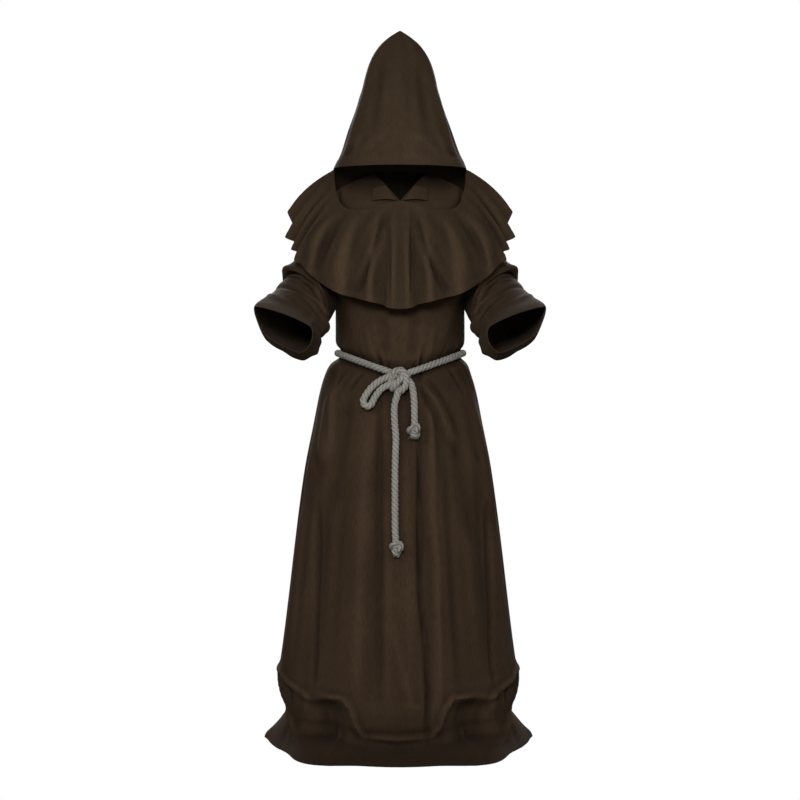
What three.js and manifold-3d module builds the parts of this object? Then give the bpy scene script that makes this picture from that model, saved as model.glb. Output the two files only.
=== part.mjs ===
// A worn monk robe: hooded, with a fluted shoulder cape, bell sleeves and a knotted rope belt.
// Millimetres. +Z is up, the front faces -Y, and heights in the tables are above the floor.
// "left" in a name is the side at -X, "right" the side at +X.
import * as THREE from 'three';
import Module from 'manifold-3d';
import { mergeVertices } from 'three/addons/utils/BufferGeometryUtils.js';

const SHOULDER_HEIGHT = 1420;
const CLOTH = 2;
const SEAM_GAP = 0.3;
const ROPE = 17.5;
const ROPE_SIDES = 8;

const SHOULDER_TIP = { x: 152, h: 1400 };
const NECK_SIDE = { x: 68, h: 1440 };
const NECK_V_BOTTOM = { y: -112, h: 1358 };
const NECK_BACK = { y: 62, h: 1447 };
const NECK_SHARE = 0.5;
const CHEST_DEPTH = 122;
const SHOULDER_BLADE_DEPTH = 124;
const ARMHOLE_HALF_WIDTH = 60;
const CHEST_ROUNDNESS = 0.6;
const YOKE_FULLNESS = 6;
const ARMHOLE_STEPS = 7;
const FRONT_COLUMNS = 28;
const BACK_COLUMNS = 24;
const HOOD_COLUMNS = 13;
const BELT_HEIGHT = 982;

const HOOD_EDGE = { side: 168, front: 176, back: 122, frontHeight: 1440, backHeight: 1458 };

const brown = (name, colour) => {
  const cloth = new THREE.MeshStandardMaterial({ color: colour, roughness: 0.92, metalness: 0 });
  cloth.name = name;
  return cloth;
};

// Rings of the robe below the armholes, top to hem. side is the half width, middle how far its
// middle lies to the side, front and back are depths, and dip is how far the middle of the front
// hangs below the sides.
const ROBE_RINGS = [
  { h: 1092, side: 164, middle: 0, front: 128, back: 122, dip: 0 },
  { h: 1045, side: 164, middle: 0, front: 137, back: 125, dip: 10 },
  { h: 1008, side: 163, middle: 0, front: 142, back: 126, dip: 36 },
  { h: 993, side: 154, middle: 1, front: 136.5, back: 120.5, dip: 48 },
  { h: 982, side: 149, middle: 1, front: 131, back: 115, dip: 55 },
  { h: 971, side: 154, middle: 0, front: 136, back: 120, dip: 56 },
  { h: 954, side: 174, middle: -3, front: 149, back: 132, dip: 50 },
  { h: 925, side: 187, middle: -5, front: 160, back: 143, dip: 36 },
  { h: 880, side: 200, middle: -5, front: 170, back: 153, dip: 18 },
  { h: 800, side: 216, middle: -5, front: 181, back: 166, dip: 4 },
  { h: 700, side: 236, middle: -5, front: 191, back: 180, dip: 0 },
  { h: 590, side: 252, middle: -5, front: 202, back: 194, dip: 0 },
  { h: 480, side: 266, middle: -5, front: 211, back: 207, dip: 0 },
  { h: 370, side: 279, middle: -5, front: 221, back: 219, dip: 0 },
  { h: 265, side: 292, middle: -5, front: 230, back: 228, dip: 0 },
  { h: 195, side: 302, middle: -5, front: 238, back: 236, dip: 0 },
  { h: 165, side: 308, middle: -5, front: 241, back: 239, dip: 0 },
  { h: 118, side: 300, middle: -5, front: 240, back: 238, dip: 0 },
  { h: 84, side: 290, middle: -5, front: 234, back: 234, dip: 4 },
  { h: 64, side: 291, middle: -4, front: 224, back: 228, dip: 12 },
  { h: 44, side: 305, middle: -3, front: 232, back: 236, dip: 18 },
  { h: 22, side: 323, middle: -3, front: 266, back: 262, dip: 10 },
  { h: 3.2, side: 337, middle: -3, front: 312, back: 292, dip: 0 },
];

// Folds of the skirt and body. at is the angle from the middle of the front towards +X, out is
// the height of a ridge or the depth of a trough, lean is how far the fold turns on its way down.
const ROBE_FOLDS = [
  { at: -22, out: 7, width: 17, top: 930, low: 70, lean: -2 },
  { at: -11, out: -9, width: 8, top: 900, low: 40, lean: -2 },
  { at: 12, out: -9, width: 8, top: 860, low: 40, lean: 1 },
  { at: 21, out: 9, width: 9, top: 905, low: 60, lean: 2 },
  { at: 22, out: 9, width: 8, top: 925, low: 740, lean: 20 },
  { at: -58, out: 9, width: 12, top: 930, low: 690, lean: 6 },
  { at: -38, out: -8, width: 10, top: 940, low: 560, lean: -3 },
  { at: -47, out: -10, width: 11, top: 700, low: 90, lean: -1 },
  { at: 40, out: -8, width: 10, top: 900, low: 480, lean: 4 },
  { at: 54, out: -11, width: 12, top: 740, low: 90, lean: 2 },
  { at: 66, out: 8, width: 12, top: 900, low: 560, lean: 3 },
  { at: -70, out: 7, width: 12, top: 640, low: 120, lean: 0 },
  { at: -16, out: -6, width: 9, top: 1090, low: 996, lean: 3 },
  { at: 15, out: -6, width: 9, top: 1090, low: 996, lean: -4 },
  { at: -39, out: -30, width: 17, top: 150, low: 14, lean: 0 },
  { at: 39, out: -30, width: 17, top: 150, low: 14, lean: 0 },
  { at: -36, out: 38, width: 22, top: 46, low: -34, lean: 0 },
  { at: 36, out: 38, width: 22, top: 46, low: -34, lean: 0 },
  { at: 112, out: -11, width: 12, top: 900, low: 80, lean: 3 },
  { at: 131, out: 10, width: 13, top: 940, low: 60, lean: -2 },
  { at: 150, out: -12, width: 11, top: 930, low: 50, lean: -2 },
  { at: 169, out: 9, width: 11, top: 900, low: 60, lean: 2 },
  { at: 188, out: -12, width: 11, top: 940, low: 50, lean: -3 },
  { at: 207, out: 10, width: 12, top: 920, low: 70, lean: 2 },
  { at: 226, out: -12, width: 12, top: 930, low: 60, lean: -2 },
  { at: 246, out: 8, width: 12, top: 780, low: 90, lean: 2 },
  { at: 142, out: 26, width: 20, top: 34, low: -30, lean: 0 },
  { at: 218, out: 30, width: 20, top: 34, low: -30, lean: 0 },
  { at: 178, out: -18, width: 16, top: 34, low: -30, lean: 0 },
  { at: 160, out: -7, width: 9, top: 1090, low: 996, lean: 3 },
  { at: 200, out: -7, width: 9, top: 1090, low: 996, lean: -3 },
];

// Sections of a sleeve from armhole to cuff, each a loop through four points: over, under, fore
// and aft. Past the elbow fore is the side towards the body and aft the side away from it.
// corner is 1 for a round loop and more for one with corners.
const SLEEVE_SECTIONS = [
  {
    over: [152, 0, 1400], under: [164, 0, 1092], fore: [158, -60, 1246],
    aft: [158, 60, 1246], corner: 1,
  },
  {
    over: [203, 4, 1364], under: [169, -10, 1082], fore: [182, -76, 1232],
    aft: [190, 66, 1222], corner: 1,
  },
  {
    over: [237, 10, 1292], under: [174, -24, 1071], fore: [196, -92, 1196],
    aft: [222, 66, 1170], corner: 1,
  },
  {
    over: [258, 18, 1232], under: [179, -40, 1061], fore: [204, -106, 1170],
    aft: [243, 62, 1126], corner: 1,
  },
  {
    over: [297, 16, 1190], under: [184, -58, 1051], fore: [207, -118, 1153],
    aft: [262, 52, 1094], corner: 1,
  },
  {
    over: [280, 6, 1173], under: [188, -78, 1041], fore: [206, -130, 1140],
    aft: [276, 30, 1074], corner: 1,
  },
  {
    over: [303, -14, 1160], under: [192, -102, 1030], fore: [204, -143, 1127],
    aft: [289, -5, 1060], corner: 1,
  },
  {
    over: [306, -58, 1148], under: [195, -130, 1020], fore: [203, -160, 1113],
    aft: [297, -45, 1048], corner: 1,
  },
  {
    over: [314, -115, 1134], under: [197, -160, 1009], fore: [204, -182, 1098],
    aft: [304, -100, 1036], corner: 1.1,
  },
  {
    over: [322, -180, 1122], under: [202, -200, 993], fore: [207, -213, 1080],
    aft: [311, -165, 1024], corner: 1.2,
  },
  {
    over: [331, -250, 1111], under: [213, -245, 976], fore: [210, -252, 1064],
    aft: [316, -232, 1014], corner: 1.3,
  },
  {
    over: [336, -305, 1102], under: [228, -292, 966], fore: [210, -300, 1053],
    aft: [318, -290, 1016], corner: 1.4,
  },
  {
    over: [338, -350, 1093], under: [231, -350, 984], fore: [207, -350, 1046],
    aft: [314, -350, 1026], corner: 1.45,
  },
];

// The front half of the cape's neckline, by angle from the middle of the front.
const NECK_SCOOP = [
  { deg: 0, x: 0, y: -114.1, h: 1359 },
  { deg: 20, x: 47, y: -121, h: 1350 },
  { deg: 33, x: 79, y: -120, h: 1338 },
  { deg: 44, x: 106, y: -112, h: 1336 },
  { deg: 55, x: 133, y: -95, h: 1341 },
  { deg: 65, x: 150, y: -72, h: 1359 },
  { deg: 78, x: 163, y: -38, h: 1400 },
  { deg: 90, x: 168, y: 0, h: 1448.7 },
];

// Ridges and troughs of the cape from the middle of the front round to the shoulder seam, and
// from there to the middle of the back. neck is the angle on the neckline, x, y and h the place
// of the hem, and swell how far the cloth curves out halfway down.
const CAPE_FRONT_FLUTES = [
  { neck: 0, x: 0, y: -206, h: 1089, swell: 10 },
  { neck: 8, x: 27, y: -205, h: 1092, swell: 10 },
  { neck: 12, x: 42, y: -190, h: 1100, swell: 7 },
  { neck: 21, x: 74, y: -204, h: 1107, swell: 11 },
  { neck: 31, x: 109, y: -184, h: 1117, swell: 8 },
  { neck: 42, x: 150, y: -188, h: 1128, swell: 14 },
  { neck: 53, x: 202, y: -142, h: 1160, swell: 12 },
  { neck: 59, x: 226, y: -138, h: 1181, swell: 16 },
  { neck: 64, x: 246, y: -108, h: 1203, swell: 16 },
  { neck: 69, x: 263, y: -96, h: 1213, swell: 16 },
  { neck: 74, x: 257, y: -66, h: 1234, swell: 12 },
  { neck: 78, x: 274, y: -52, h: 1243, swell: 12 },
  { neck: 82, x: 263, y: -34, h: 1260, swell: 9 },
  { neck: 86, x: 291, y: -20, h: 1276, swell: 10 },
  { neck: 90, x: 266, y: 0, h: 1296, swell: 9 },
];
const CAPE_BACK_FLUTES = [
  { neck: 90, x: 266, y: 0, h: 1296, swell: 9 },
  { neck: 96, x: 288, y: 34, h: 1344, swell: 11 },
  { neck: 104, x: 255, y: 68, h: 1306, swell: 11 },
  { neck: 112, x: 252, y: 104, h: 1292, swell: 12 },
  { neck: 121, x: 212, y: 116, h: 1266, swell: 14 },
  { neck: 131, x: 196, y: 154, h: 1246, swell: 16 },
  { neck: 142, x: 150, y: 156, h: 1228, swell: 14 },
  { neck: 152, x: 118, y: 184, h: 1216, swell: 15 },
  { neck: 162, x: 78, y: 172, h: 1207, swell: 13 },
  { neck: 171, x: 40, y: 190, h: 1201, swell: 14 },
  { neck: 180, x: 0, y: 182, h: 1198, swell: 13 },
];
const CAPE_STEPS_PER_FLUTE = 2;
const CAPE_SWELL_RISE = 0.5;
const CAPE_ROWS = [0, 0.14, 0.3, 0.46, 0.62, 0.76, 0.88, 1];

// Rings of the hood, tip to edge.
const HOOD_RINGS = [
  { h: 1797, side: 1.6, front: 1.6, back: 1.6 },
  { h: 1791, side: 11, front: 11, back: 11 },
  { h: 1777, side: 31, front: 30, back: 28 },
  { h: 1758, side: 52, front: 52, back: 48 },
  { h: 1734, side: 69, front: 71, back: 65 },
  { h: 1708, side: 81, front: 88, back: 79 },
  { h: 1674, side: 91, front: 104, back: 92 },
  { h: 1642, side: 98, front: 117, back: 101 },
  { h: 1596, side: 113, front: 135, back: 110 },
  { h: 1545, side: 131, front: 151, back: 116 },
  { h: 1492, side: 148, front: 165, back: 119 },
];

const LAPEL_CORNERS = {
  innerLow: { u: 0.0625, v: 0.03 },
  innerHigh: { u: 0.257, v: 0.004 },
  outerHigh: { u: 0.448, v: 0.113 },
  outerLow: { u: 0.4375, v: 0.2035 },
};
const LAPEL_COLUMNS = [0, 0.25, 0.5, 0.75, 1];
const LAPEL_ROWS = [0, 0.33, 0.67, 1];
const LAPEL_LIFT = 4.4;
const LAPEL_ROLL = 5;

const KNOT_CENTRE = { x: -2.5, y: -174, h: 917 };
const KNOT_HALF = { x: 25.5, y: 21, h: 33.5 };
const END_KNOT_HALF = { x: 19, y: 18, h: 21 };
const KNOT_WRAPS = { count: 4, bump: 0.05 };
const END_KNOT_WRAPS = { count: 3, bump: 0.08 };
const KNOT_SEGMENTS = { across: 14, down: 10 };
const KNOT_ROPE_Y = -168;
const LOOP_ROPE_Y = -176;
const BELT_CLEARANCE = 1.9;
const TAIL_CLEARANCE = 3;
const LOOP_CLEARANCE = 6;
const WAIST_ROPE_STEPS = 44;
const LONG_TAIL_STEPS = 26;
const SHORT_TAIL_STEPS = 9;
const LOOP_STEPS = 30;
// The waist rope ends this many degrees to either side of the knot's middle.
const WAIST_END_ANGLE = 3;

// The hanging ropes' middle lines as seen from the front, from the knot outwards.
const LONG_TAIL_DROP = [
  { x: -2, h: 905 },
  { x: -5.5, h: 884 },
  { x: -12, h: 862 },
  { x: -13.9, h: 843 },
  { x: -12.6, h: 810 },
  { x: -9.9, h: 778 },
  { x: -11, h: 740 },
  { x: -12, h: 700 },
  { x: -12.2, h: 660 },
  { x: -12.1, h: 620 },
  { x: -12, h: 580 },
  { x: -11.4, h: 550 },
  { x: -9.5, h: 520 },
];
const SHORT_TAIL_DROP = [
  { x: 10, h: 918 },
  { x: 22, h: 914 },
  { x: 29, h: 903 },
  { x: 32.6, h: 886 },
  { x: 34.6, h: 865 },
  { x: 35.2, h: 840 },
  { x: 35.4, h: 800 },
];
const LOOP_BEND = [
  { x: -8, h: 928 },
  { x: -28, h: 923.5 },
  { x: -49, h: 915.5 },
  { x: -70, h: 898.5 },
  { x: -84, h: 879 },
  { x: -89.5, h: 866 },
  { x: -83, h: 854.5 },
  { x: -71, h: 856.5 },
  { x: -60.5, h: 875 },
  { x: -46, h: 892.5 },
  { x: -28, h: 900 },
  { x: -8, h: 906 },
];

const mix = (a, b, share) => a + (b - a) * share;
const smooth = (share) => {
  const t = Math.min(1, Math.max(0, share));
  return t * t * (3 - 2 * t);
};
const radians = (deg) => (deg * Math.PI) / 180;
const steps = (count) => Array.from({ length: count + 1 }, (unused, k) => k / count);
const mirrored = (rows, whole) => rows.map((row) => ({ ...row, x: -row.x, neck: whole - row.neck }));

// A value of one column of a table at a key between its rows, on a smooth curve.
function readTable(rows, key, at, column) {
  let low = 0;
  while (low < rows.length - 2 && rows[low + 1][key] < at) {
    low += 1;
  }
  const slope = (k) => {
    const a = rows[Math.max(k - 1, 0)];
    const b = rows[Math.min(k + 1, rows.length - 1)];
    return (b[column] - a[column]) / (b[key] - a[key]);
  };
  const from = rows[low];
  const to = rows[low + 1];
  const span = to[key] - from[key];
  const t = (at - from[key]) / span;
  const start = from[column] * (1 + 2 * t) * (1 - t) ** 2 + slope(low) * span * t * (1 - t) ** 2;
  const end = to[column] * (3 - 2 * t) * t ** 2 - slope(low + 1) * span * t ** 2 * (1 - t);
  return start + end;
}

// A closed wall of cloth on a grid of outer points. Rows run down and columns run to the right,
// seen from outside. held(row, column) names the axes that the thickness leaves alone at a seam.
function clothWall(points, closedRound, held) {
  const rows = points.length;
  const columns = points[0].length;
  const wrap = (c) => (c + columns) % columns;
  const inner = points.map((row, r) => row.map((point, c) => {
    const above = points[Math.max(r - 1, 0)][c];
    const below = points[Math.min(r + 1, rows - 1)][c];
    const before = closedRound ? row[wrap(c - 1)] : row[Math.max(c - 1, 0)];
    const after = closedRound ? row[wrap(c + 1)] : row[Math.min(c + 1, columns - 1)];
    const down = below.clone().sub(above);
    const normal = down.cross(after.clone().sub(before));
    for (const axis of held(r, c)) {
      normal[axis] = 0;
    }
    normal.normalize();
    return point.clone().addScaledVector(normal, -CLOTH);
  }));

  const positions = [...points.flat(), ...inner.flat()].flatMap((p) => [p.x, p.y, p.z]);
  const faces = [];
  const outerAt = (r, c) => r * columns + (closedRound ? wrap(c) : c);
  const innerAt = (r, c) => rows * columns + outerAt(r, c);
  const quad = (a, b, c, d) => faces.push(a, b, c, a, c, d);
  const lastColumn = closedRound ? columns : columns - 1;
  for (let r = 0; r < rows - 1; r += 1) {
    for (let c = 0; c < lastColumn; c += 1) {
      quad(outerAt(r, c), outerAt(r + 1, c), outerAt(r + 1, c + 1), outerAt(r, c + 1));
      quad(innerAt(r, c), innerAt(r, c + 1), innerAt(r + 1, c + 1), innerAt(r + 1, c));
    }
    if (!closedRound) {
      const end = columns - 1;
      quad(outerAt(r, 0), innerAt(r, 0), innerAt(r + 1, 0), outerAt(r + 1, 0));
      quad(outerAt(r, end), outerAt(r + 1, end), innerAt(r + 1, end), innerAt(r, end));
    }
  }
  for (let c = 0; c < lastColumn; c += 1) {
    const end = rows - 1;
    quad(outerAt(0, c), outerAt(0, c + 1), innerAt(0, c + 1), innerAt(0, c));
    quad(outerAt(end, c + 1), outerAt(end, c), innerAt(end, c), innerAt(end, c + 1));
  }
  const geometry = new THREE.BufferGeometry();
  geometry.setAttribute('position', new THREE.Float32BufferAttribute(positions, 3));
  geometry.setIndex(faces);
  geometry.computeVertexNormals();
  return geometry;
}

// How far the folds of a table push the cloth out at an angle and a height.
function foldPush(folds, deg, h) {
  let push = 0;
  for (const fold of folds) {
    if (h >= fold.top || h <= fold.low) {
      continue;
    }
    const along = (fold.top - h) / (fold.top - fold.low);
    const turned = deg - fold.at - fold.lean * along;
    const away = Math.abs(((turned + 540) % 360) - 180) / fold.width;
    if (away < 1) {
      const strength = smooth(along / 0.3) * smooth((1 - along) / 0.25);
      push += fold.out * strength * (0.5 + 0.5 * Math.cos(Math.PI * away));
    }
  }
  return push;
}

// A point of the robe below the armholes, on a ring.
function ringPoint(ring, deg) {
  const turn = radians(deg);
  const inFront = Math.cos(turn) > 0;
  const depth = inFront ? ring.front : ring.back;
  const x = ring.side * Math.sin(turn);
  const y = -depth * Math.cos(turn);
  const sag = inFront ? ring.dip * (1 - Math.abs(Math.sin(turn))) : 0;
  const push = foldPush(ROBE_FOLDS, deg, ring.h) / Math.hypot(x, y);
  return new THREE.Vector3(ring.middle + x * (1 + push), y * (1 + push), ring.h - sag);
}

// A point of the front or back panel above the underarm: u runs from -1 to 1 between the
// armholes and v from 0 at the shoulder seam and neckline to 1 at the underarm.
function yokePoint(isFront, u, v) {
  const side = Math.sign(u);
  const across = Math.abs(u);
  const shoulder = Math.max(0, (across - NECK_SHARE) / (1 - NECK_SHARE));
  const neck = Math.min(1, across / NECK_SHARE);
  let topX = mix(NECK_SIDE.x, SHOULDER_TIP.x, shoulder);
  let topY = 0;
  let topH = mix(NECK_SIDE.h, SHOULDER_TIP.h, shoulder);
  if (neck < 1) {
    topX = NECK_SIDE.x * neck;
    topY = isFront ? NECK_V_BOTTOM.y * (1 - neck ** 2) : NECK_BACK.y * Math.sqrt(1 - neck ** 2);
    topH = mix(isFront ? NECK_V_BOTTOM.h : NECK_BACK.h, NECK_SIDE.h, neck);
  }
  const ring = ROBE_RINGS[0];
  const lowX = ring.side * Math.sin(radians(90 * across));
  const edge = ARMHOLE_HALF_WIDTH * 2 * Math.sqrt(v * (1 - v));
  const middle = isFront
    ? mix(CHEST_DEPTH, ring.front, v)
    : mix(SHOULDER_BLADE_DEPTH, ring.back, v);
  const round = Math.cos(radians(90 * across)) ** mix(CHEST_ROUNDNESS, 1, v);
  const depth = edge + (middle - edge) * round;
  const fill = mix(1 - (1 - v) ** YOKE_FULLNESS, 1, across ** YOKE_FULLNESS);
  const y = mix(topY, isFront ? -depth : depth, fill);
  return new THREE.Vector3(side * mix(topX, lowX, v), y, mix(topH, ring.h, v));
}

const armholeShare = (step) => (1 - Math.cos((Math.PI * step) / ARMHOLE_STEPS)) / 2;

function robePanel(isFront, columns) {
  const half = SEAM_GAP / 2;
  const grid = [];
  for (let step = 0; step < ARMHOLE_STEPS; step += 1) {
    grid.push(steps(columns).map((share) => {
      const u = (isFront ? 1 : -1) * (2 * share - 1);
      return yokePoint(isFront, u, armholeShare(step));
    }));
  }
  for (const ring of ROBE_RINGS) {
    grid.push(steps(columns).map((share) => {
      const deg = isFront ? -90 + 180 * share : 90 + 180 * share;
      return ringPoint(ring, deg);
    }));
  }
  for (const row of grid) {
    for (const point of row) {
      point.y = isFront ? Math.min(point.y, -half) : Math.max(point.y, half);
    }
  }
  const held = (r, c) => {
    const atSide = c === 0 || c === columns;
    const share = Math.abs((2 * c) / columns - 1);
    if (r === 0 && share >= NECK_SHARE) {
      return atSide ? ['x', 'y'] : ['y'];
    }
    if (atSide) {
      return r < ARMHOLE_STEPS ? ['x'] : ['y'];
    }
    return [];
  };
  return clothWall(grid, false, held);
}

// The loops of a sleeve's sections. The first one lies at the armhole, a seam's gap outside it.
function sleeveLoops(side) {
  return SLEEVE_SECTIONS.map((section, k) => {
    const place = (name) => new THREE.Vector3(side * section[name][0], section[name][1], section[name][2]);
    const over = place('over');
    const under = place('under');
    const centre = over.clone().add(under).multiplyScalar(0.5);
    const rise = over.sub(centre);
    const fore = place('fore').sub(centre);
    const aft = place('aft').sub(centre);
    return steps(2 * ARMHOLE_STEPS).slice(0, -1).map((share) => {
      const turn = 2 * Math.PI * share;
      const up = Math.sign(Math.cos(turn)) * Math.abs(Math.cos(turn)) ** section.corner;
      const across = Math.abs(Math.sin(turn)) ** section.corner;
      const point = centre.clone().addScaledVector(rise, up);
      point.addScaledVector(Math.sin(turn) > 0 ? fore : aft, across);
      if (k === 0) {
        point.x += side * SEAM_GAP;
      }
      return point;
    });
  });
}

function sleeve(side) {
  const loops = sleeveLoops(side);
  const grid = side < 0 ? loops : loops.map((loop) => [loop[0], ...loop.slice(1).reverse()]);
  return clothWall(grid, true, (r) => (r === 0 ? ['x'] : []));
}

const hoodEdgeHeight = (deg) => {
  const share = (1 - Math.cos(radians(deg))) / 2;
  return mix(HOOD_EDGE.frontHeight, HOOD_EDGE.backHeight, share);
};

function hoodHalf(side, columns) {
  const half = SEAM_GAP / 2;
  const angles = steps(columns).map((share) => (side > 0 ? 180 * share : 180 * (1 - share)));
  const rings = [...HOOD_RINGS, HOOD_EDGE];
  const grid = rings.map((ring) => angles.map((deg) => {
    const turn = radians(deg);
    const depth = Math.cos(turn) > 0 ? ring.front : ring.back;
    const x = Math.max(half, ring.side * Math.sin(turn));
    return new THREE.Vector3(side * x, -depth * Math.cos(turn), ring.h ?? hoodEdgeHeight(deg));
  }));
  const held = (r, c) => {
    const axes = c === 0 || c === columns ? ['x'] : [];
    return r === rings.length - 1 ? [...axes, 'z'] : axes;
  };
  return clothWall(grid, false, held);
}

// A point of the cape's neckline. Behind the shoulder seam it follows the edge of the hood.
function neckPoint(deg) {
  const away = deg > 180 ? 360 - deg : Math.abs(deg);
  const side = deg < 0 || deg > 180 ? -1 : 1;
  if (away <= 90) {
    const place = (column) => readTable(NECK_SCOOP, 'deg', away, column);
    return new THREE.Vector3(side * place('x'), place('y'), place('h'));
  }
  const turn = radians(away);
  const x = side * HOOD_EDGE.side * Math.sin(turn);
  const y = -HOOD_EDGE.back * Math.cos(turn);
  return new THREE.Vector3(x, y, hoodEdgeHeight(away) - SEAM_GAP);
}

function capePanel(flutes, isFront) {
  const half = SEAM_GAP / 2;
  const hemCurve = new THREE.CatmullRomCurve3(flutes.map((f) => new THREE.Vector3(f.x, f.y, f.h)));
  const numbered = flutes.map((flute, k) => ({ ...flute, k }));
  const columns = (flutes.length - 1) * CAPE_STEPS_PER_FLUTE;
  const grid = CAPE_ROWS.map((share) => steps(columns).map((part) => {
    const k = part * (flutes.length - 1);
    const low = Math.min(Math.floor(k), flutes.length - 2);
    const angle = mix(numbered[low].neck, numbered[low + 1].neck, k - low);
    const swell = readTable(numbered, 'k', k, 'swell');
    const neck = neckPoint(angle);
    const point = neck.clone().lerp(hemCurve.getPoint(part), share);
    const outward = new THREE.Vector3(point.x, point.y, 0).normalize();
    outward.z = CAPE_SWELL_RISE;
    point.addScaledVector(outward, swell * 4 * share * (1 - share));
    point.y = isFront ? Math.min(point.y, -half) : Math.max(point.y, half);
    return point;
  }));
  return clothWall(grid, false, (r, c) => (c === 0 || c === columns ? ['y'] : []));
}

// A lapel lies on the front panel, so it is made from the panel's points, moved out.
function lapel(side) {
  const corner = LAPEL_CORNERS;
  const grid = LAPEL_ROWS.map((down) => {
    const row = LAPEL_COLUMNS.map((share) => {
      const place = (name) => {
        const high = mix(corner.innerHigh[name], corner.outerHigh[name], share);
        const low = mix(corner.innerLow[name], corner.outerLow[name], share);
        return mix(high, low, down);
      };
      const point = yokePoint(true, side * place('u'), place('v'));
      point.y -= LAPEL_LIFT + LAPEL_ROLL * Math.sin(Math.PI * share) * down;
      return point;
    });
    return side > 0 ? row : row.reverse();
  });
  return clothWall(grid, false, () => []);
}

function ropePath(points) {
  const places = points.map((p) => new THREE.Vector3(...p));
  return new THREE.CatmullRomCurve3(places, false, 'centripetal');
}

function ropeTube(path, stepCount) {
  const outline = steps(ROPE_SIDES).slice(0, -1).map((share) => {
    const turn = 2 * Math.PI * share;
    return new THREE.Vector2((ROPE / 2) * Math.cos(turn), (ROPE / 2) * Math.sin(turn));
  });
  return new THREE.ExtrudeGeometry(new THREE.Shape(outline), {
    steps: stepCount,
    bevelEnabled: false,
    extrudePath: path,
  });
}

// A knot is a rounded lump whose wraps show as bumps. grow makes the seat that ropes end on.
function knotLump(centre, halfSize, wraps, grow) {
  const lump = new THREE.SphereGeometry(1, KNOT_SEGMENTS.across, KNOT_SEGMENTS.down);
  const place = lump.getAttribute('position');
  for (let k = 0; k < place.count; k += 1) {
    const p = new THREE.Vector3().fromBufferAttribute(place, k);
    const wave = Math.cos(wraps.count * Math.atan2(p.x, p.z));
    const swell = 1 + wraps.bump * wave * (1 - p.y * p.y);
    const x = centre.x + p.x * (halfSize.x * swell + grow);
    const y = centre.y + p.y * (halfSize.y + grow);
    const z = centre.h + p.z * (halfSize.h * swell + grow);
    place.setXYZ(k, x, y, z);
  }
  return lump;
}

const mainKnot = (grow) => knotLump(KNOT_CENTRE, KNOT_HALF, KNOT_WRAPS, grow);

const skirtFront = (h) => -readTable([...ROBE_RINGS].reverse(), 'h', h, 'front');
const hangingY = (h) => skirtFront(h) - ROPE / 2 - TAIL_CLEARANCE;

const LONG_KNOT = { x: -8.4, y: hangingY(513) - 6, h: 512 };
const SHORT_KNOT = { x: 34.5, y: hangingY(800) - 6, h: 795 };

const wasm = await Module();
wasm.setup();

function solidOf(geometry) {
  const bare = geometry.clone();
  bare.deleteAttribute('normal');
  bare.deleteAttribute('uv');
  const merged = mergeVertices(bare, 1e-4);
  return new wasm.Manifold(new wasm.Mesh({
    numProp: 3,
    vertProperties: new Float32Array(merged.getAttribute('position').array),
    triVerts: new Uint32Array(merged.getIndex().array),
  }));
}

// A rope that ends on the faces of its knots.
function seated(rope, knots) {
  let solid = solidOf(rope);
  for (const knot of knots) {
    solid = solid.subtract(solidOf(knot));
  }
  const mesh = solid.getMesh();
  const geometry = new THREE.BufferGeometry();
  geometry.setAttribute('position', new THREE.Float32BufferAttribute(mesh.vertProperties, 3));
  geometry.setIndex(Array.from(mesh.triVerts));
  geometry.computeVertexNormals();
  return geometry;
}

function waistRope() {
  const ring = ROBE_RINGS.find((row) => row.h === BELT_HEIGHT);
  const out = ROPE / 2 + BELT_CLEARANCE;
  const points = steps(36).map((share) => {
    const turn = radians(mix(WAIST_END_ANGLE, 360 - WAIST_END_ANGLE, share));
    const inFront = Math.cos(turn) > 0;
    const depth = (inFront ? ring.front : ring.back) + out;
    const sag = inFront ? ring.dip * (1 - Math.abs(Math.sin(turn))) : 0;
    const x = ring.middle + (ring.side + out) * Math.sin(turn);
    return [x, -depth * Math.cos(turn), ring.h - sag];
  });
  return seated(ropeTube(ropePath(points), WAIST_ROPE_STEPS), [mainKnot(SEAM_GAP)]);
}

// A tail drops from the knot and lies on the skirt.
function tailRope(drop, stepCount, endKnot) {
  const points = drop.map((p, k) => {
    const y = k === 0 ? KNOT_ROPE_Y : Math.min(KNOT_ROPE_Y, hangingY(p.h));
    return [p.x, y, p.h];
  });
  const end = knotLump(endKnot, END_KNOT_HALF, END_KNOT_WRAPS, SEAM_GAP);
  return seated(ropeTube(ropePath(points), stepCount), [mainKnot(SEAM_GAP), end]);
}

function loopRope() {
  const points = LOOP_BEND.map((p) => {
    const out = smooth(-p.x / 60);
    return [p.x, mix(LOOP_ROPE_Y, skirtFront(p.h) - ROPE / 2 - LOOP_CLEARANCE, out), p.h];
  });
  return seated(ropeTube(ropePath(points), LOOP_STEPS), [mainKnot(SEAM_GAP)]);
}

const robe = new THREE.Group();
robe.position.z = -SHOULDER_HEIGHT;

function add(name, geometry, material) {
  const mesh = new THREE.Mesh(geometry, material);
  mesh.name = name;
  robe.add(mesh);
}

const sides = [
  { word: 'left', sign: -1 },
  { word: 'right', sign: 1 },
];
const robeCloth = brown('robe_cloth', 0x372b21);
const capeCloth = brown('cape_cloth', 0x3a2d22);
const hoodCloth = brown('hood_cloth', 0x382c21);
const ropeFibre = new THREE.MeshStandardMaterial({ color: 0x7c7972, roughness: 0.95, metalness: 0 });

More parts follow.
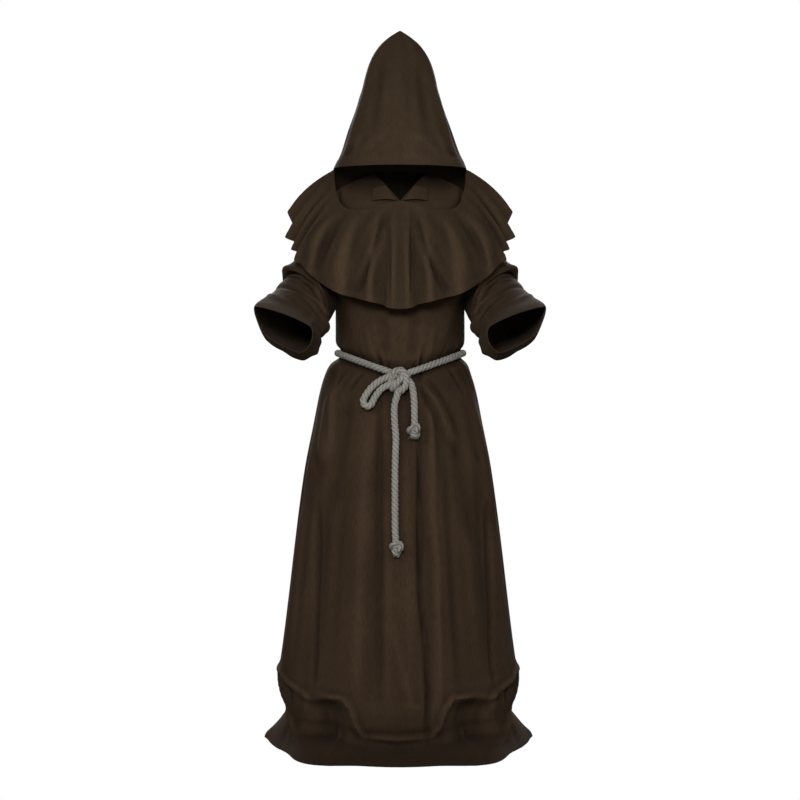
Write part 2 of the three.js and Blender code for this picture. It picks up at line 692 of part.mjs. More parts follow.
add('robe_front', robePanel(true, FRONT_COLUMNS), robeCloth);
add('robe_back', robePanel(false, BACK_COLUMNS), robeCloth);
for (const side of sides) {
  add(`sleeve_${side.word}`, sleeve(side.sign), robeCloth);
  add(`hood_${side.word}`, hoodHalf(side.sign, HOOD_COLUMNS), hoodCloth);
  add(`lapel_${side.word}`, lapel(side.sign), capeCloth);
}
const frontFlutes = [...mirrored(CAPE_FRONT_FLUTES.slice(1), 0).reverse(), ...CAPE_FRONT_FLUTES];
const backFlutes = [...CAPE_BACK_FLUTES, ...mirrored(CAPE_BACK_FLUTES.slice(0, -1), 360).reverse()];
add('cape_front', capePanel(frontFlutes, true), capeCloth);
add('cape_back', capePanel(backFlutes, false), capeCloth);

add('belt_waist', waistRope(), ropeFibre);
add('belt_knot', mainKnot(0), ropeFibre);
add('belt_loop', loopRope(), ropeFibre);
add('belt_tail_long', tailRope(LONG_TAIL_DROP, LONG_TAIL_STEPS, LONG_KNOT), ropeFibre);
add('belt_tail_short', tailRope(SHORT_TAIL_DROP, SHORT_TAIL_STEPS, SHORT_KNOT), ropeFibre);
add('tail_knot_long', knotLump(LONG_KNOT, END_KNOT_HALF, END_KNOT_WRAPS, 0), ropeFibre);
add('tail_knot_short', knotLump(SHORT_KNOT, END_KNOT_HALF, END_KNOT_WRAPS, 0), ropeFibre);

export default robe;
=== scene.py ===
import math

import bpy
import numpy as np
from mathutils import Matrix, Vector


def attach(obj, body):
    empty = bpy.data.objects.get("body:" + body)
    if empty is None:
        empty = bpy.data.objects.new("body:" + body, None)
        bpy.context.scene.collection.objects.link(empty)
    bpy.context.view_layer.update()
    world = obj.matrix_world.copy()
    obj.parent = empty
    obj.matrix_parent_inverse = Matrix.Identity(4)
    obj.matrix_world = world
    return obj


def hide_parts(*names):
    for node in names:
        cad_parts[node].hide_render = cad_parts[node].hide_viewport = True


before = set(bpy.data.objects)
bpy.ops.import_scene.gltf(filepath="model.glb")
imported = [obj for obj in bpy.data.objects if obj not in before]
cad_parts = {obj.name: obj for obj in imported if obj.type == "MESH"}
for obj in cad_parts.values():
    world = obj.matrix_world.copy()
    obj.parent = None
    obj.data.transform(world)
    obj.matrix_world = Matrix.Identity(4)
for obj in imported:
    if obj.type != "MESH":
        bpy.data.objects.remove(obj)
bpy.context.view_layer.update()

# A worn monk robe. The tables are in millimetres, with heights above the floor that the hem
# lies on; the front faces -Y. "left" in a name is the side at -X.
MM = 0.001
SHOULDER_HEIGHT = 1420
CLOTH = 2.0
RIPPLES = {"robe": 0.9, "sleeve": 0.8, "hood": 1.1, "cape": 0.8}
HOOD_HEM = 0.8
CAPE_HEM = 0.7
YOKE_ROWS = 42
PANEL_ROWS = 200
PANEL_COLUMNS = 176
JOIN_SPREAD = 5
SLEEVE_ROWS = 110
SLEEVE_RADIUS = 68
SLEEVE_SECTION_STEP = 30
CAPE_ROWS = 62
CAPE_DROP = 240
HOOD_ROWS = 110
HOOD_COLUMNS = 64
ROPE = 17.5
STRANDS = 3
STRAND_SIDES = 14
ROPE_LAY = 34
ROPE_STEP = 2.2
STRAND_SHARE = 0.244
STRAND_OFFSET = 0.256


def table(columns, rows):
    """A short table as one array for each named column, with k as the row's number."""
    made = dict(zip(columns.split(), np.array(rows, float).T))
    made["k"] = np.arange(len(rows), dtype=float)
    return made


ROBE_RINGS = table("h side middle front back dip", [
    (1092, 164, 0, 128, 122, 0), (1045, 164, 0, 137, 125, 10), (1008, 163, 0, 142, 126, 36),
    (993, 154, 1, 136.5, 120.5, 48), (982, 149, 1, 131, 115, 55), (971, 154, 0, 136, 120, 56),
    (954, 174, -3, 149, 132, 50), (925, 187, -5, 160, 143, 36), (880, 200, -5, 170, 153, 18),
    (800, 216, -5, 181, 166, 4), (700, 236, -5, 191, 180, 0), (590, 252, -5, 202, 194, 0),
    (480, 266, -5, 211, 207, 0), (370, 279, -5, 221, 219, 0), (265, 292, -5, 230, 228, 0),
    (195, 302, -5, 238, 236, 0), (165, 308, -5, 241, 239, 0), (118, 300, -5, 240, 238, 0),
    (84, 290, -5, 234, 234, 4), (64, 291, -4, 224, 228, 12), (44, 305, -3, 232, 236, 18),
    (22, 323, -3, 266, 262, 10), (3.2, 337, -3, 312, 292, 0),
])
BELT_RING = 4

# Folds, each with at, out, width, top, low and lean: at is the angle from the middle of the front
# towards +X, out the height of a ridge or the depth of a trough, and lean how far the fold turns on
# its way from top to low.
ROBE_FOLDS = [
    (-22, 7, 17, 930, 70, -2), (-11, -9, 8, 900, 40, -2), (12, -9, 8, 860, 40, 1), (21, 9, 9, 905, 60, 2),
    (22, 9, 8, 925, 740, 20), (-58, 9, 12, 930, 690, 6), (-38, -8, 10, 940, 560, -3),
    (-47, -10, 11, 700, 90, -1), (40, -8, 10, 900, 480, 4), (54, -11, 12, 740, 90, 2),
    (66, 8, 12, 900, 560, 3), (-70, 7, 12, 640, 120, 0), (-16, -6, 9, 1090, 996, 3),
    (15, -6, 9, 1090, 996, -4), (-39, -30, 17, 150, 14, 0), (39, -30, 17, 150, 14, 0),
    (-36, 38, 22, 46, -34, 0), (36, 38, 22, 46, -34, 0), (112, -11, 12, 900, 80, 3),
    (131, 10, 13, 940, 60, -2), (150, -12, 11, 930, 50, -2), (169, 9, 11, 900, 60, 2),
    (188, -12, 11, 940, 50, -3), (207, 10, 12, 920, 70, 2), (226, -12, 12, 930, 60, -2),
    (246, 8, 12, 780, 90, 2), (142, 26, 20, 34, -30, 0), (218, 30, 20, 34, -30, 0),
    (178, -18, 16, 34, -30, 0), (160, -7, 9, 1090, 996, 3), (200, -7, 9, 1090, 996, -3),
]

# Creases of the robe: a soft ridge or trough along a line between two places, each an angle and
# a height, and then how far it stands out and how far it spreads to either side.
ROBE_CREASES = [
    # gathers at the belt
    (-20.5, 1014, -15.5, 950, -6, 5), (-11, 994, -15, 952, -5, 4.5), (-15.5, 1000, -14, 960, 3, 4),
    (21, 1018, 17.5, 948, -6, 5), (12.5, 992, 16.5, 952, -5, 4.5), (17, 1000, 15, 960, 3, 4),
    (-30, 1050, -24, 990, 3, 8), (31, 1056, 26, 990, 3, 8), (-40, 1010, -34, 965, -3, 5),
    (44, 1012, 38, 968, -3, 5), (-62, 1015, -60, 978, 2.5, 6), (63, 1020, 60, 980, 2.5, 6),
    (-74, 1012, -73, 976, -3, 6), (76, 1014, 74, 974, -3, 6), (-30, 968, -38, 900, -5, 6),
    (-17, 944, -24, 850, -4, 7), (21, 928, 32, 815, 7, 6.5), (16, 926, 26, 822, -6, 6),
    (46, 962, 56, 880, -5, 7), (-56, 958, -46, 752, 6, 9), (-66, 955, -62, 860, -4, 7),
    (70, 966, 78, 890, 4, 7), (26, 942, 37, 850, -3.5, 6), (9, 930, 9.5, 860, 2.5, 6),
    (-44, 950, -52, 880, 4, 6), (60, 960, 66, 890, -3, 6),
    # long lines of the skirt front
    (-12.8, 872, -11, 640, -6, 10), (-11.2, 660, -9.6, 400, -6, 10.5), (-9.7, 420, -7.6, 110, -4, 12),
    (-21, 850, -18, 200, 5, 24), (-33, 800, -31, 190, -2, 15), (13.5, 772, 12.2, 560, -7, 5.5),
    (12.3, 580, 11.4, 390, -8, 5.5), (11.4, 400, 13.8, 270, -7, 5.5), (13.8, 280, 14, 52, -8, 6),
    (23.5, 885, 18.4, 600, 8, 8.5), (18.2, 610, 20.3, 470, 7.5, 8.5), (20.3, 480, 18.6, 120, 8, 8.5),
    (28, 640, 28.5, 180, -3, 12), (-53, 600, -47, 330, -8, 9.5), (-47.5, 345, -43, 172, -8, 9),
    (63, 600, 57, 330, -8, 9.5), (57.5, 345, 51, 168, -8, 9), (-66, 640, -62, 190, 5, 16),
    (71, 640, 68, 190, 5, 16), (-62.5, 738, -58, 706, -4, 8), (57, 740, 61, 706, -4, 8),
    (40, 700, 41, 220, 3.5, 17), (-80, 820, -78, 300, -4, 14), (84, 820, 82, 300, -4, 14),
    # the lower hem's star creases and break line
    (-96, 186, -69, 174, 6, 6.5), (-69, 174, -51, 143, 10, 6.5), (-51, 143, -46, 128, 10, 6.5),
    (-46, 128, -37, 138, 8, 6.5), (-37, 138, -26, 143, 9, 6.5), (-26, 143, -22, 118, 10, 6.5),
    (-22, 118, -21, 80, 10, 6.5), (-21, 80, -17, 60, 9, 6.5), (-17, 60, 16, 60, 8, 6),
    (16, 60, 20.5, 78, 9, 6.5), (20.5, 78, 22, 116, 10, 6.5), (22, 116, 25.5, 144, 10, 6.5),
    (25.5, 144, 40, 138, 9, 6.5), (40, 138, 49, 128, 8, 6.5), (49, 128, 54, 144, 10, 6.5),
    (54, 144, 73, 173, 10, 6.5), (73, 173, 96, 186, 6, 6.5), (-47, 142, -52, 100, 6, 7),
    (50, 142, 55, 98, 6, 7), (-60, 150, -64, 104, -7, 8), (62, 150, 67, 102, -7, 8),
    (-82, 170, -75, 80, 6, 6.5), (85, 172, 79, 78, 6, 6.5), (-75, 82, -54, 34, 9, 6.5),
    (79, 80, 57, 33, 9, 6.5), (-56, 31, -43, 31, 5, 6), (58, 31, 46, 31, 5, 6), (-33, 62, -27, 6, 7, 6.5),
    (37, 60, 30, 6, 7, 6.5), (-44, 120, -43, 60, -5, 12), (47, 118, 46, 58, -5, 12),
    (-30, 118, -28, 70, -3, 12), (33, 118, 31, 70, -3, 12), (-68, 40, -60, 10, -5, 10),
    (70, 40, 62, 10, -5, 10), (-24, 116, 24, 116, 4.5, 34), (-3, 330, 8, 90, 3.5, 14),
    (-92, 16, -82, 3, 9, 12), (92, 18, 84, 3, 8, 11), (2, 132, 12, 122, 2.5, 6),
    # sides and back
    (96, 960, 104, 840, -6, 7), (122, 964, 118, 850, 5, 8), (140, 966, 146, 860, -6, 7),
    (158, 962, 155, 800, 5, 8), (176, 960, 178, 820, -6, 7), (196, 964, 199, 830, 5, 8),
    (214, 962, 210, 850, -6, 7), (236, 966, 243, 860, 5, 8), (262, 960, 255, 830, -6, 7),
    (104, 700, 106, 260, 5, 11), (140, 640, 138, 200, -6, 10), (178, 760, 176, 180, -6, 10),
    (216, 680, 220, 240, -6, 10), (256, 620, 254, 220, 5, 11), (126, 720, 122, 210, 5, 12),
    (160, 700, 163, 190, 6, 10), (196, 640, 199, 200, 6, 11), (236, 700, 233, 210, 5, 11),
    (96, 190, 122, 154, 9, 8.5), (122, 154, 134, 166, 8, 8.5), (134, 166, 142, 100, 9, 8.5),
    (150, 146, 170, 160, 8, 8.5), (170, 160, 176, 92, 9, 8.5), (186, 146, 206, 164, 8, 8.5),
    (206, 164, 214, 88, 9, 8.5), (228, 168, 250, 152, 9, 8.5), (250, 152, 264, 190, 8, 8.5),
    (142, 92, 170, 60, 8, 9), (186, 64, 214, 86, 8, 9), (110, 120, 116, 70, -8, 10),
    (243, 122, 238, 66, -8, 10), (124, 120, 128, 60, -8, 11), (150, 1040, 156, 970, 5, 6),
    (170, 1050, 172, 975, -5, 6), (190, 1040, 188, 972, 5, 6), (212, 1046, 206, 970, -5, 6),
    (132, 1030, 140, 972, -4, 6), (230, 1034, 222, 972, 4, 6),
]

STITCH_PITCH = 4.2
STITCH_HALF_LENGTH = 1.4
STITCH_HALF_WIDTH = 0.32
STITCH_FACES = [(0, 3, 1), (0, 2, 3), (4, 1, 3), (4, 3, 2), (0, 1, 5), (0, 5, 2), (4, 5, 1), (4, 2, 5)]

SHOULDER_TIP = (152, 1400)
NECK_SIDE = (68, 1440)
NECK_V_BOTTOM = (-112, 1358)
NECK_BACK = (62, 1447)
NECK_SHARE = 0.5
YOKE_FULLNESS = 6
CHEST_BLUNTNESS = 0.6
CHEST_DEPTH = 122
SHOULDER_BLADE_DEPTH = 124
ARMHOLE_HALF_WIDTH = 60

SECTION_COLUMNS = "over_x over_y over_h under_x under_y under_h fore_x fore_y fore_h aft_x aft_y aft_h corner"
SLEEVE_SECTIONS = table(SECTION_COLUMNS, [
    (152, 0, 1400, 164, 0, 1092, 158, -60, 1246, 158, 60, 1246, 1),
    (203, 4, 1364, 169, -10, 1082, 182, -76, 1232, 190, 66, 1222, 1),
    (237, 10, 1292, 174, -24, 1071, 196, -92, 1196, 222, 66, 1170, 1),
    (258, 18, 1232, 179, -40, 1061, 204, -106, 1170, 243, 62, 1126, 1),
    (297, 16, 1190, 184, -58, 1051, 207, -118, 1153, 262, 52, 1094, 1),
    (280, 6, 1173, 188, -78, 1041, 206, -130, 1140, 276, 30, 1074, 1),
    (303, -14, 1160, 192, -102, 1030, 204, -143, 1127, 289, -5, 1060, 1),
    (306, -58, 1148, 195, -130, 1020, 203, -160, 1113, 297, -45, 1048, 1),
    (314, -115, 1134, 197, -160, 1009, 204, -182, 1098, 304, -100, 1036, 1.1),
    (322, -180, 1122, 202, -200, 993, 207, -213, 1080, 311, -165, 1024, 1.2),
    (331, -250, 1111, 213, -245, 976, 210, -252, 1064, 316, -232, 1014, 1.3),
    (336, -305, 1102, 228, -292, 966, 210, -300, 1053, 318, -290, 1016, 1.4),
    (338, -350, 1093, 231, -350, 984, 207, -350, 1046, 314, -350, 1026, 1.45),
])
# Creases of a sleeve: turn goes from 0 at the top over 90 at the fore side to 180 below, and
# along counts the sections.
SLEEVE_CREASES = [
    (-30, 3.6, 70, 4.4, 9, 7), (-20, 4.6, 90, 5.0, -8, 6.5), (-60, 5.6, 50, 5.2, 7, 7),
    (30, 6.0, 120, 5.2, 8, 7), (60, 6.6, 140, 6.0, -7, 7), (150, 5.2, 100, 7.0, 8, 8),
    (170, 6.4, 110, 8.4, 8, 9), (185, 7.4, 120, 9.6, -7, 9), (200, 8.4, 140, 10.8, 6, 10),
    (-20, 6.8, 60, 7.8, -6, 8), (-10, 8.6, 40, 9.6, 4, 9), (230, 6.2, 262, 8.6, 6, 9),
    (270, 4.2, 250, 6.2, -7, 8), (300, 4.0, 280, 5.6, 8, 7), (210, 4.4, 240, 3.2, 6, 8),
    (255, 9.0, 225, 11.2, -5, 11), (20, 2.2, 100, 3.4, -5, 9), (60, 2.6, 130, 4.0, 6, 8),
    (330, 2.6, 300, 3.6, 6, 8), (100, 9.0, 85, 11.4, 4, 10), (40, 5.0, 100, 4.4, 6, 5),
    (20, 5.5, 110, 6.4, -6, 5), (70, 7.4, 130, 7.2, 6, 6), (50, 8.2, 115, 9.0, -5, 7),
]

HOOD_RINGS = table("h side front back", [
    (1797, 1.6, 1.6, 1.6), (1791, 11, 11, 11), (1777, 31, 30, 28), (1758, 52, 52, 48), (1734, 69, 71, 65),
    (1708, 81, 88, 79), (1674, 91, 104, 92), (1642, 98, 117, 101), (1596, 113, 135, 110),
    (1545, 131, 151, 116), (1492, 148, 165, 119), (1440, 168, 176, 122),
])
HOOD_BACK_EDGE = 1458
# Creases of the hood's right half, mirrored with small differences on the left.
HOOD_CREASES = [
    (0, 1760, 0, 1500, 3.5, 13), (34, 1700, 30, 1530, -5, 15), (58, 1710, 62, 1500, 6, 17),
    (24, 1498, 42, 1470, 2, 10), (12, 1512, 26, 1500, 1.5, 12), (80, 1600, 74, 1470, -6, 14),
    (110, 1640, 100, 1480, 7, 17), (140, 1600, 128, 1480, -8, 15), (165, 1560, 150, 1470, 7, 14),
    (180, 1760, 180, 1500, 3.5, 10), (45, 1482, 66, 1472, -3.5, 10), (150, 1700, 160, 1560, -5, 15),
    (95, 1740, 90, 1640, -4, 14), (44, 1520, 50, 1460, 4, 12), (170, 1660, 176, 1540, 4, 12),
]

NECK_SCOOP = table("deg x y h", [
    (0, 0, -114.1, 1359), (20, 47, -121, 1350), (33, 79, -120, 1338), (44, 106, -112, 1336),
    (55, 133, -95, 1341), (65, 150, -72, 1359), (78, 163, -38, 1400), (90, 168, 0, 1448.7),
])
# Flutes of the cape from the middle of the front to the shoulder, and on to the middle of the
# back: the angle on the neckline, the place of the hem, and how far the cloth swells between.
FLUTE_COLUMNS = "neck x y h swell"
CAPE_FRONT_FLUTES = [
    (0, 0, -206, 1089, 10), (8, 27, -205, 1092, 10), (12, 42, -190, 1100, 7), (21, 74, -204, 1107, 11),
    (31, 109, -184, 1117, 8), (42, 150, -188, 1128, 14), (53, 202, -142, 1160, 12),
    (59, 226, -138, 1181, 16), (64, 246, -108, 1203, 16), (69, 263, -96, 1213, 16),
    (74, 257, -66, 1234, 12), (78, 274, -52, 1243, 12), (82, 263, -34, 1260, 9), (86, 291, -20, 1276, 10),
    (90, 266, 0, 1296, 9),
]
CAPE_BACK_FLUTES = [
    (90, 266, 0, 1296, 9), (96, 288, 34, 1344, 11), (104, 255, 68, 1306, 11), (112, 252, 104, 1292, 12),
    (121, 212, 116, 1266, 14), (131, 196, 154, 1246, 16), (142, 150, 156, 1228, 14),
    (152, 118, 184, 1216, 15), (162, 78, 172, 1207, 13), (171, 40, 190, 1201, 14), (180, 0, 182, 1198, 13),
]
# Creases of the cape front: across is x at the hem, share the way down from neckline to hem.
CAPE_CREASES = [
    (-211, 0.05, -207, 0.86, -10, 8), (214, 0.05, 216, 0.84, -10, 8), (-253, 0.25, -260, 0.82, -7, 7),
    (263, 0.3, 261, 0.9, -7, 7), (-45, 0.1, -64, 0.42, -7, 6.5), (-60, 0.36, -103, 0.9, -9, 8),
    (46, 0.1, 62, 0.4, -6, 6.5), (58, 0.36, 111, 0.92, -9, 8), (-76, 0.5, -75, 0.97, 8, 8),
    (74, 0.5, 75, 0.97, 7, 8), (-33, 0.26, -26, 0.99, -6, 5.5), (35, 0.26, 28, 0.99, -6, 5.5),
    (-16, 0.2, -18, 0.97, 3, 7), (17, 0.24, 19, 0.97, 3, 7), (-150, 0.15, -160, 0.92, 6, 15),
    (152, 0.15, 165, 0.92, 6, 15), (-125, 0.1, -128, 0.6, -4, 8), (128, 0.12, 134, 0.55, -4, 8),
    (-232, 0.2, -234, 0.8, 5, 8), (238, 0.2, 240, 0.8, 5, 8), (-90, 0.12, -108, 0.4, 4, 9),
    (88, 0.14, 106, 0.42, 4, 9), (-135, 0.8, -150, 0.99, 5, 9), (140, 0.8, 152, 0.99, 5, 9),
]

LAPEL_CORNERS = table("u v", [
    (0.257, 0.004), (0.448, 0.113), (0.0625, 0.03), (0.4375, 0.2035),
])
LAPEL_GRID = (16, 20)
LAPEL_LIFT = 4.4
LAPEL_ROLL = 5

END_KNOT_HALF = (19, 18, 21)
END_KNOT_ROPE = 14.5
CUT_END_ROPE = 15
FIBRES = 70
FIBRE_TURN = 2.39996
LINE_POINTS = 37
KNOT_ROPE_Y = -168
LOOP_ROPE_Y = -176
BELT_CLEARANCE = 1.9
TAIL_CLEARANCE = 3
LOOP_CLEARANCE = 6
LONG_TAIL_DROP = [
    (-2, 905), (-5.5, 884), (-12, 862), (-13.9, 843), (-12.6, 810), (-9.9, 778), (-11, 740), (-12, 700),
    (-12.2, 660), (-12.1, 620), (-12, 580), (-11.4, 550), (-9.5, 520),
]
SHORT_TAIL_DROP = [(10, 918), (22, 914), (29, 903), (32.6, 886), (34.6, 865), (35.2, 840), (35.4, 800)]
LOOP_BEND = [
    (-8, 929), (-28, 924.5), (-49, 915.5), (-70, 898.5), (-84, 879), (-89.5, 866), (-83, 854.5), (-71, 857),
    (-61, 876), (-45, 896), (-27, 905.5), (-8, 911),
]
# The rope's way through the bow knot: over a lobe at the left, behind, round the right side and
# across the front.
KNOT_TURNS = [
    (-26, -169, 903), (-22, -175, 921), (-17, -180, 934), (-8, -181, 940), (0, -174, 936), (3, -163, 920),
    (-3, -159, 902), (-9, -166, 892), (-4, -178, 889.5), (6, -184, 893.5), (13.5, -185, 905),
    (14.5, -184, 920), (10.5, -182, 934), (2, -177, 941), (-5, -168, 934), (-12, -161, 920),
    (-19, -163, 905), (-20, -174, 897), (-13, -184, 903), (-5, -187, 913), (3, -184, 923), (12, -174, 929),
    (20, -168, 922),
]


def smooth(share):
    """A soft step from 0 to 1."""
    t = np.clip(share, 0, 1)
    return t * t * (3 - 2 * t)


def mix(a, b, share):
    return a + (b - a) * share


def read(rows, key, at, column):
    """One column of a table at places between its rows, on a smooth curve."""
    keys, values = rows[key], rows[column]
    at = np.asarray(at, float)
    slopes = np.gradient(values, keys)
    slopes[1:-1] = (values[2:] - values[:-2]) / (keys[2:] - keys[:-2])
    low = np.clip(np.searchsorted(keys, at, side="right") - 1, 0, len(keys) - 2)
    step = keys[low + 1] - keys[low]
    t = (at - keys[low]) / step
    start = values[low] * (1 + 2 * t) * (1 - t) ** 2 + slopes[low] * step * t * (1 - t) ** 2
    end = values[low + 1] * (3 - 2 * t) * t ** 2 - slopes[low + 1] * step * t ** 2 * (1 - t)
    return start + end


def read_points(rows, key, at, prefix=""):
    """Points from a table's columns x, y and h."""
    return np.stack([read(rows, key, at, prefix + axis) for axis in "xyh"], axis=-1)


def turned(deg, at):
    """The angle from at to deg, the short way round."""
    return (deg - at + 180) % 360 - 180


def fold_push(folds, deg, h):
    """How far the folds push the cloth out at angles and heights."""
    push = np.zeros(np.broadcast(deg, h).shape)
    for at, out, width, top, low, lean in folds:
        along = (top - h) / (top - low)
        away = np.abs(turned(deg, at + lean * along)) / width
        strength = smooth(along / 0.3) * smooth((1 - along) / 0.25)
        push += np.where(away < 1, out * strength * (0.5 + 0.5 * np.cos(np.pi * away)), 0)
    return push


def crease_push(creases, at, spread, down, scale, closed_round=False):
    """How far the creases push the cloth out. at says where each point lies across the cloth,
    and spread and scale turn steps across and down into millimetres."""
    push = np.zeros(down.shape)
    for at_from, down_from, at_to, down_to, out, width in creases:
        x0 = (turned(at, at_from) if closed_round else at - at_from) * spread
        y0 = (down - down_from) * scale
        dx = (at_to - at_from) * spread
        dy = (down_to - down_from) * scale
        t = np.clip((x0 * dx + y0 * dy) / np.maximum(dx * dx + dy * dy, 1e-6), 0, 1)
        away = np.hypot(x0 - t * dx, y0 - t * dy) / width
        push += out * (0.3 + 0.7 * np.sin(np.pi * t)) * np.exp(-away * away)
    return push


def ripple(points, size):
    """A gentle unevenness of hand-made cloth, a few long waves across and down."""
    x, y, z = points[..., 0], points[..., 1], points[..., 2]
    turn = np.arctan2(y, x)
    waves = (
        np.sin(z / 61 + 3 * turn + 0.4) * np.sin(x / 47 + 1.3)
        + 0.7 * np.sin(z / 37 - 5 * turn + 2.1) * np.sin(y / 39 + 0.2)
        + 0.5 * np.sin(z / 88 + 9 * turn + 4.0)
    )
    return size * waves


def normals_of(points):
    """The outward normals of a grid of points."""
    normal = np.cross(np.gradient(points, axis=0), np.gradient(points, axis=1))
    return normal / np.maximum(np.linalg.norm(normal, axis=2, keepdims=True), 1e-9)


def lifted(points, push):
    """The grid's points moved along its outward normals."""
    return points + normals_of(points) * push[..., None]


def ring_points(k, deg, push):
    """Points of the robe on its rings, pushed out by that much."""
    turn = np.radians(deg)
    in_front = np.cos(turn) > 0
    side, front, back, dip, middle, h = (
        read(ROBE_RINGS, "k", k, column) for column in ("side", "front", "back", "dip", "middle", "h")
    )
    x, y = side * np.sin(turn), -np.where(in_front, front, back) * np.cos(turn)
    sag = np.where(in_front, dip * (1 - np.abs(np.sin(turn))), 0)
    grow = 1 + push / np.hypot(x, y)
    return np.stack([middle + x * grow, y * grow, h - sag], axis=-1)


def yoke_points(is_front, u, v):
    """Points of a panel above the underarm: u from -1 to 1 between the armholes, v from 0 at the
    shoulder seam and neckline to 1 at the underarm."""
    side, across = np.sign(u), np.abs(u)
    shoulder = np.clip((across - NECK_SHARE) / (1 - NECK_SHARE), 0, None)
    neck = np.minimum(1, across / NECK_SHARE)
    at_neck = neck < 1
    bottom = NECK_V_BOTTOM if is_front else NECK_BACK
    dip = 1 - neck ** 2
    scoop = bottom[0] * (dip if is_front else np.sqrt(np.maximum(dip, 0)))
    top_x = np.where(at_neck, NECK_SIDE[0] * neck, mix(NECK_SIDE[0], SHOULDER_TIP[0], shoulder))
    top_y = np.where(at_neck, scoop, 0)
    slope_h = mix(NECK_SIDE[1], SHOULDER_TIP[1], shoulder)
    top_h = np.where(at_neck, mix(bottom[1], NECK_SIDE[1], neck), slope_h)
    low_side, low_h = ROBE_RINGS["side"][0], ROBE_RINGS["h"][0]
    low_depth = ROBE_RINGS["front" if is_front else "back"][0]
    low_x = low_side * np.sin(np.radians(90 * across))
    edge = ARMHOLE_HALF_WIDTH * 2 * np.sqrt(np.clip(v * (1 - v), 0, None))
    middle = mix(CHEST_DEPTH if is_front else SHOULDER_BLADE_DEPTH, low_depth, v)
    bulge = np.clip(np.cos(np.radians(90 * across)), 0, 1) ** mix(CHEST_BLUNTNESS, 1, v)
    depth = edge + (middle - edge) * bulge
    fill = mix(1 - (1 - v) ** YOKE_FULLNESS, 1, across ** YOKE_FULLNESS)
    y = mix(top_y, -depth if is_front else depth, fill)
    return np.stack([side * mix(top_x, low_x, v), y, mix(top_h, low_h, v)], axis=-1)


def grid_of(rows, columns):
    """Shares down and to the right for each point of a grid."""
    return np.meshgrid(np.linspace(0, 1, rows), np.linspace(0, 1, columns), indexing="ij")


def behind_or_in_front(points, is_front):
    """The same points, none of them past the side seams."""
    points[..., 1] = np.minimum(points[..., 1], 0) if is_front else np.maximum(points[..., 1], 0)
    return points


def robe_panel(is_front):
    """The outer points of the front or back panel, down from the shoulders to the hem."""
    down, right = grid_of(YOKE_ROWS + 1, PANEL_COLUMNS)
    v = (1 - np.cos(np.pi * down)) / 2
    u = (2 * right - 1) * (1 if is_front else -1)
    yoke = yoke_points(is_front, u, v)[:-1]
    down, right = grid_of(PANEL_ROWS, PANEL_COLUMNS)
    deg = (-90 if is_front else 90) + 180 * right
    k = down * (len(ROBE_RINGS["k"]) - 1)
    h = read(ROBE_RINGS, "k", k, "h")
    push = fold_push(ROBE_FOLDS, deg, h)
    push += crease_push(ROBE_CREASES, deg, np.radians(read(ROBE_RINGS, "k", k, "side")), h, 1, True)
    points = np.concatenate([yoke, ring_points(k, deg, push)])
    to_seam = 1 - np.abs(2 * grid_of(*points.shape[:2])[1] - 1)
    from_join = (np.arange(len(points)) - YOKE_ROWS)[:, None] / JOIN_SPREAD
    soften = np.exp(-from_join * from_join) * smooth(to_seam / 0.1)
    points = mix(points, neighbours_mean(points, 4), soften[..., None])
    push = ripple(points, RIPPLES["robe"]) * smooth(points[..., 2] / 60) * smooth(to_seam / 0.1)
    points = lifted(points, push)
    points[..., 2] = np.maximum(points[..., 2], CLOTH + 0.9)
    return behind_or_in_front(points, is_front)


def sleeve_panel(side):
    """The outer points of a sleeve, round and round from armhole to cuff."""
    down, right = grid_of(SLEEVE_ROWS, 2 * YOKE_ROWS + 1)
    k = down * (len(SLEEVE_SECTIONS["k"]) - 1)
    turn = 2 * np.pi * right * (1 if side < 0 else -1)

    def place(name):
        return read_points(SLEEVE_SECTIONS, "k", k, name + "_") * (side, 1, 1)

    over, under = place("over"), place("under")
    centre = (over + under) / 2
    corner = read(SLEEVE_SECTIONS, "k", k, "corner")
    up = np.sign(np.cos(turn)) * np.abs(np.cos(turn)) ** corner
    out = np.abs(np.sin(turn)) ** corner
    across = np.where((np.sin(turn) > 0)[..., None], place("fore") - centre, place("aft") - centre)
    points = centre + (over - centre) * up[..., None] + across * out[..., None]
    spread = math.radians(SLEEVE_RADIUS)
    push = crease_push(SLEEVE_CREASES, np.degrees(turn), spread, k, SLEEVE_SECTION_STEP, True)
    push += ripple(points, RIPPLES["sleeve"])
    push *= smooth(down / 0.08) * smooth((1 - down) / 0.05)
    points = lifted(points, push)
    points[:, -1] = points[:, 0] = (points[:, -1] + points[:, 0]) / 2
    return points


def hood_edge_height(deg):
    """The hood's lower edge, which rises a little towards the back."""
    share = (1 - np.cos(np.radians(deg))) / 2
    return mix(HOOD_RINGS["h"][-1], HOOD_BACK_EDGE, share)


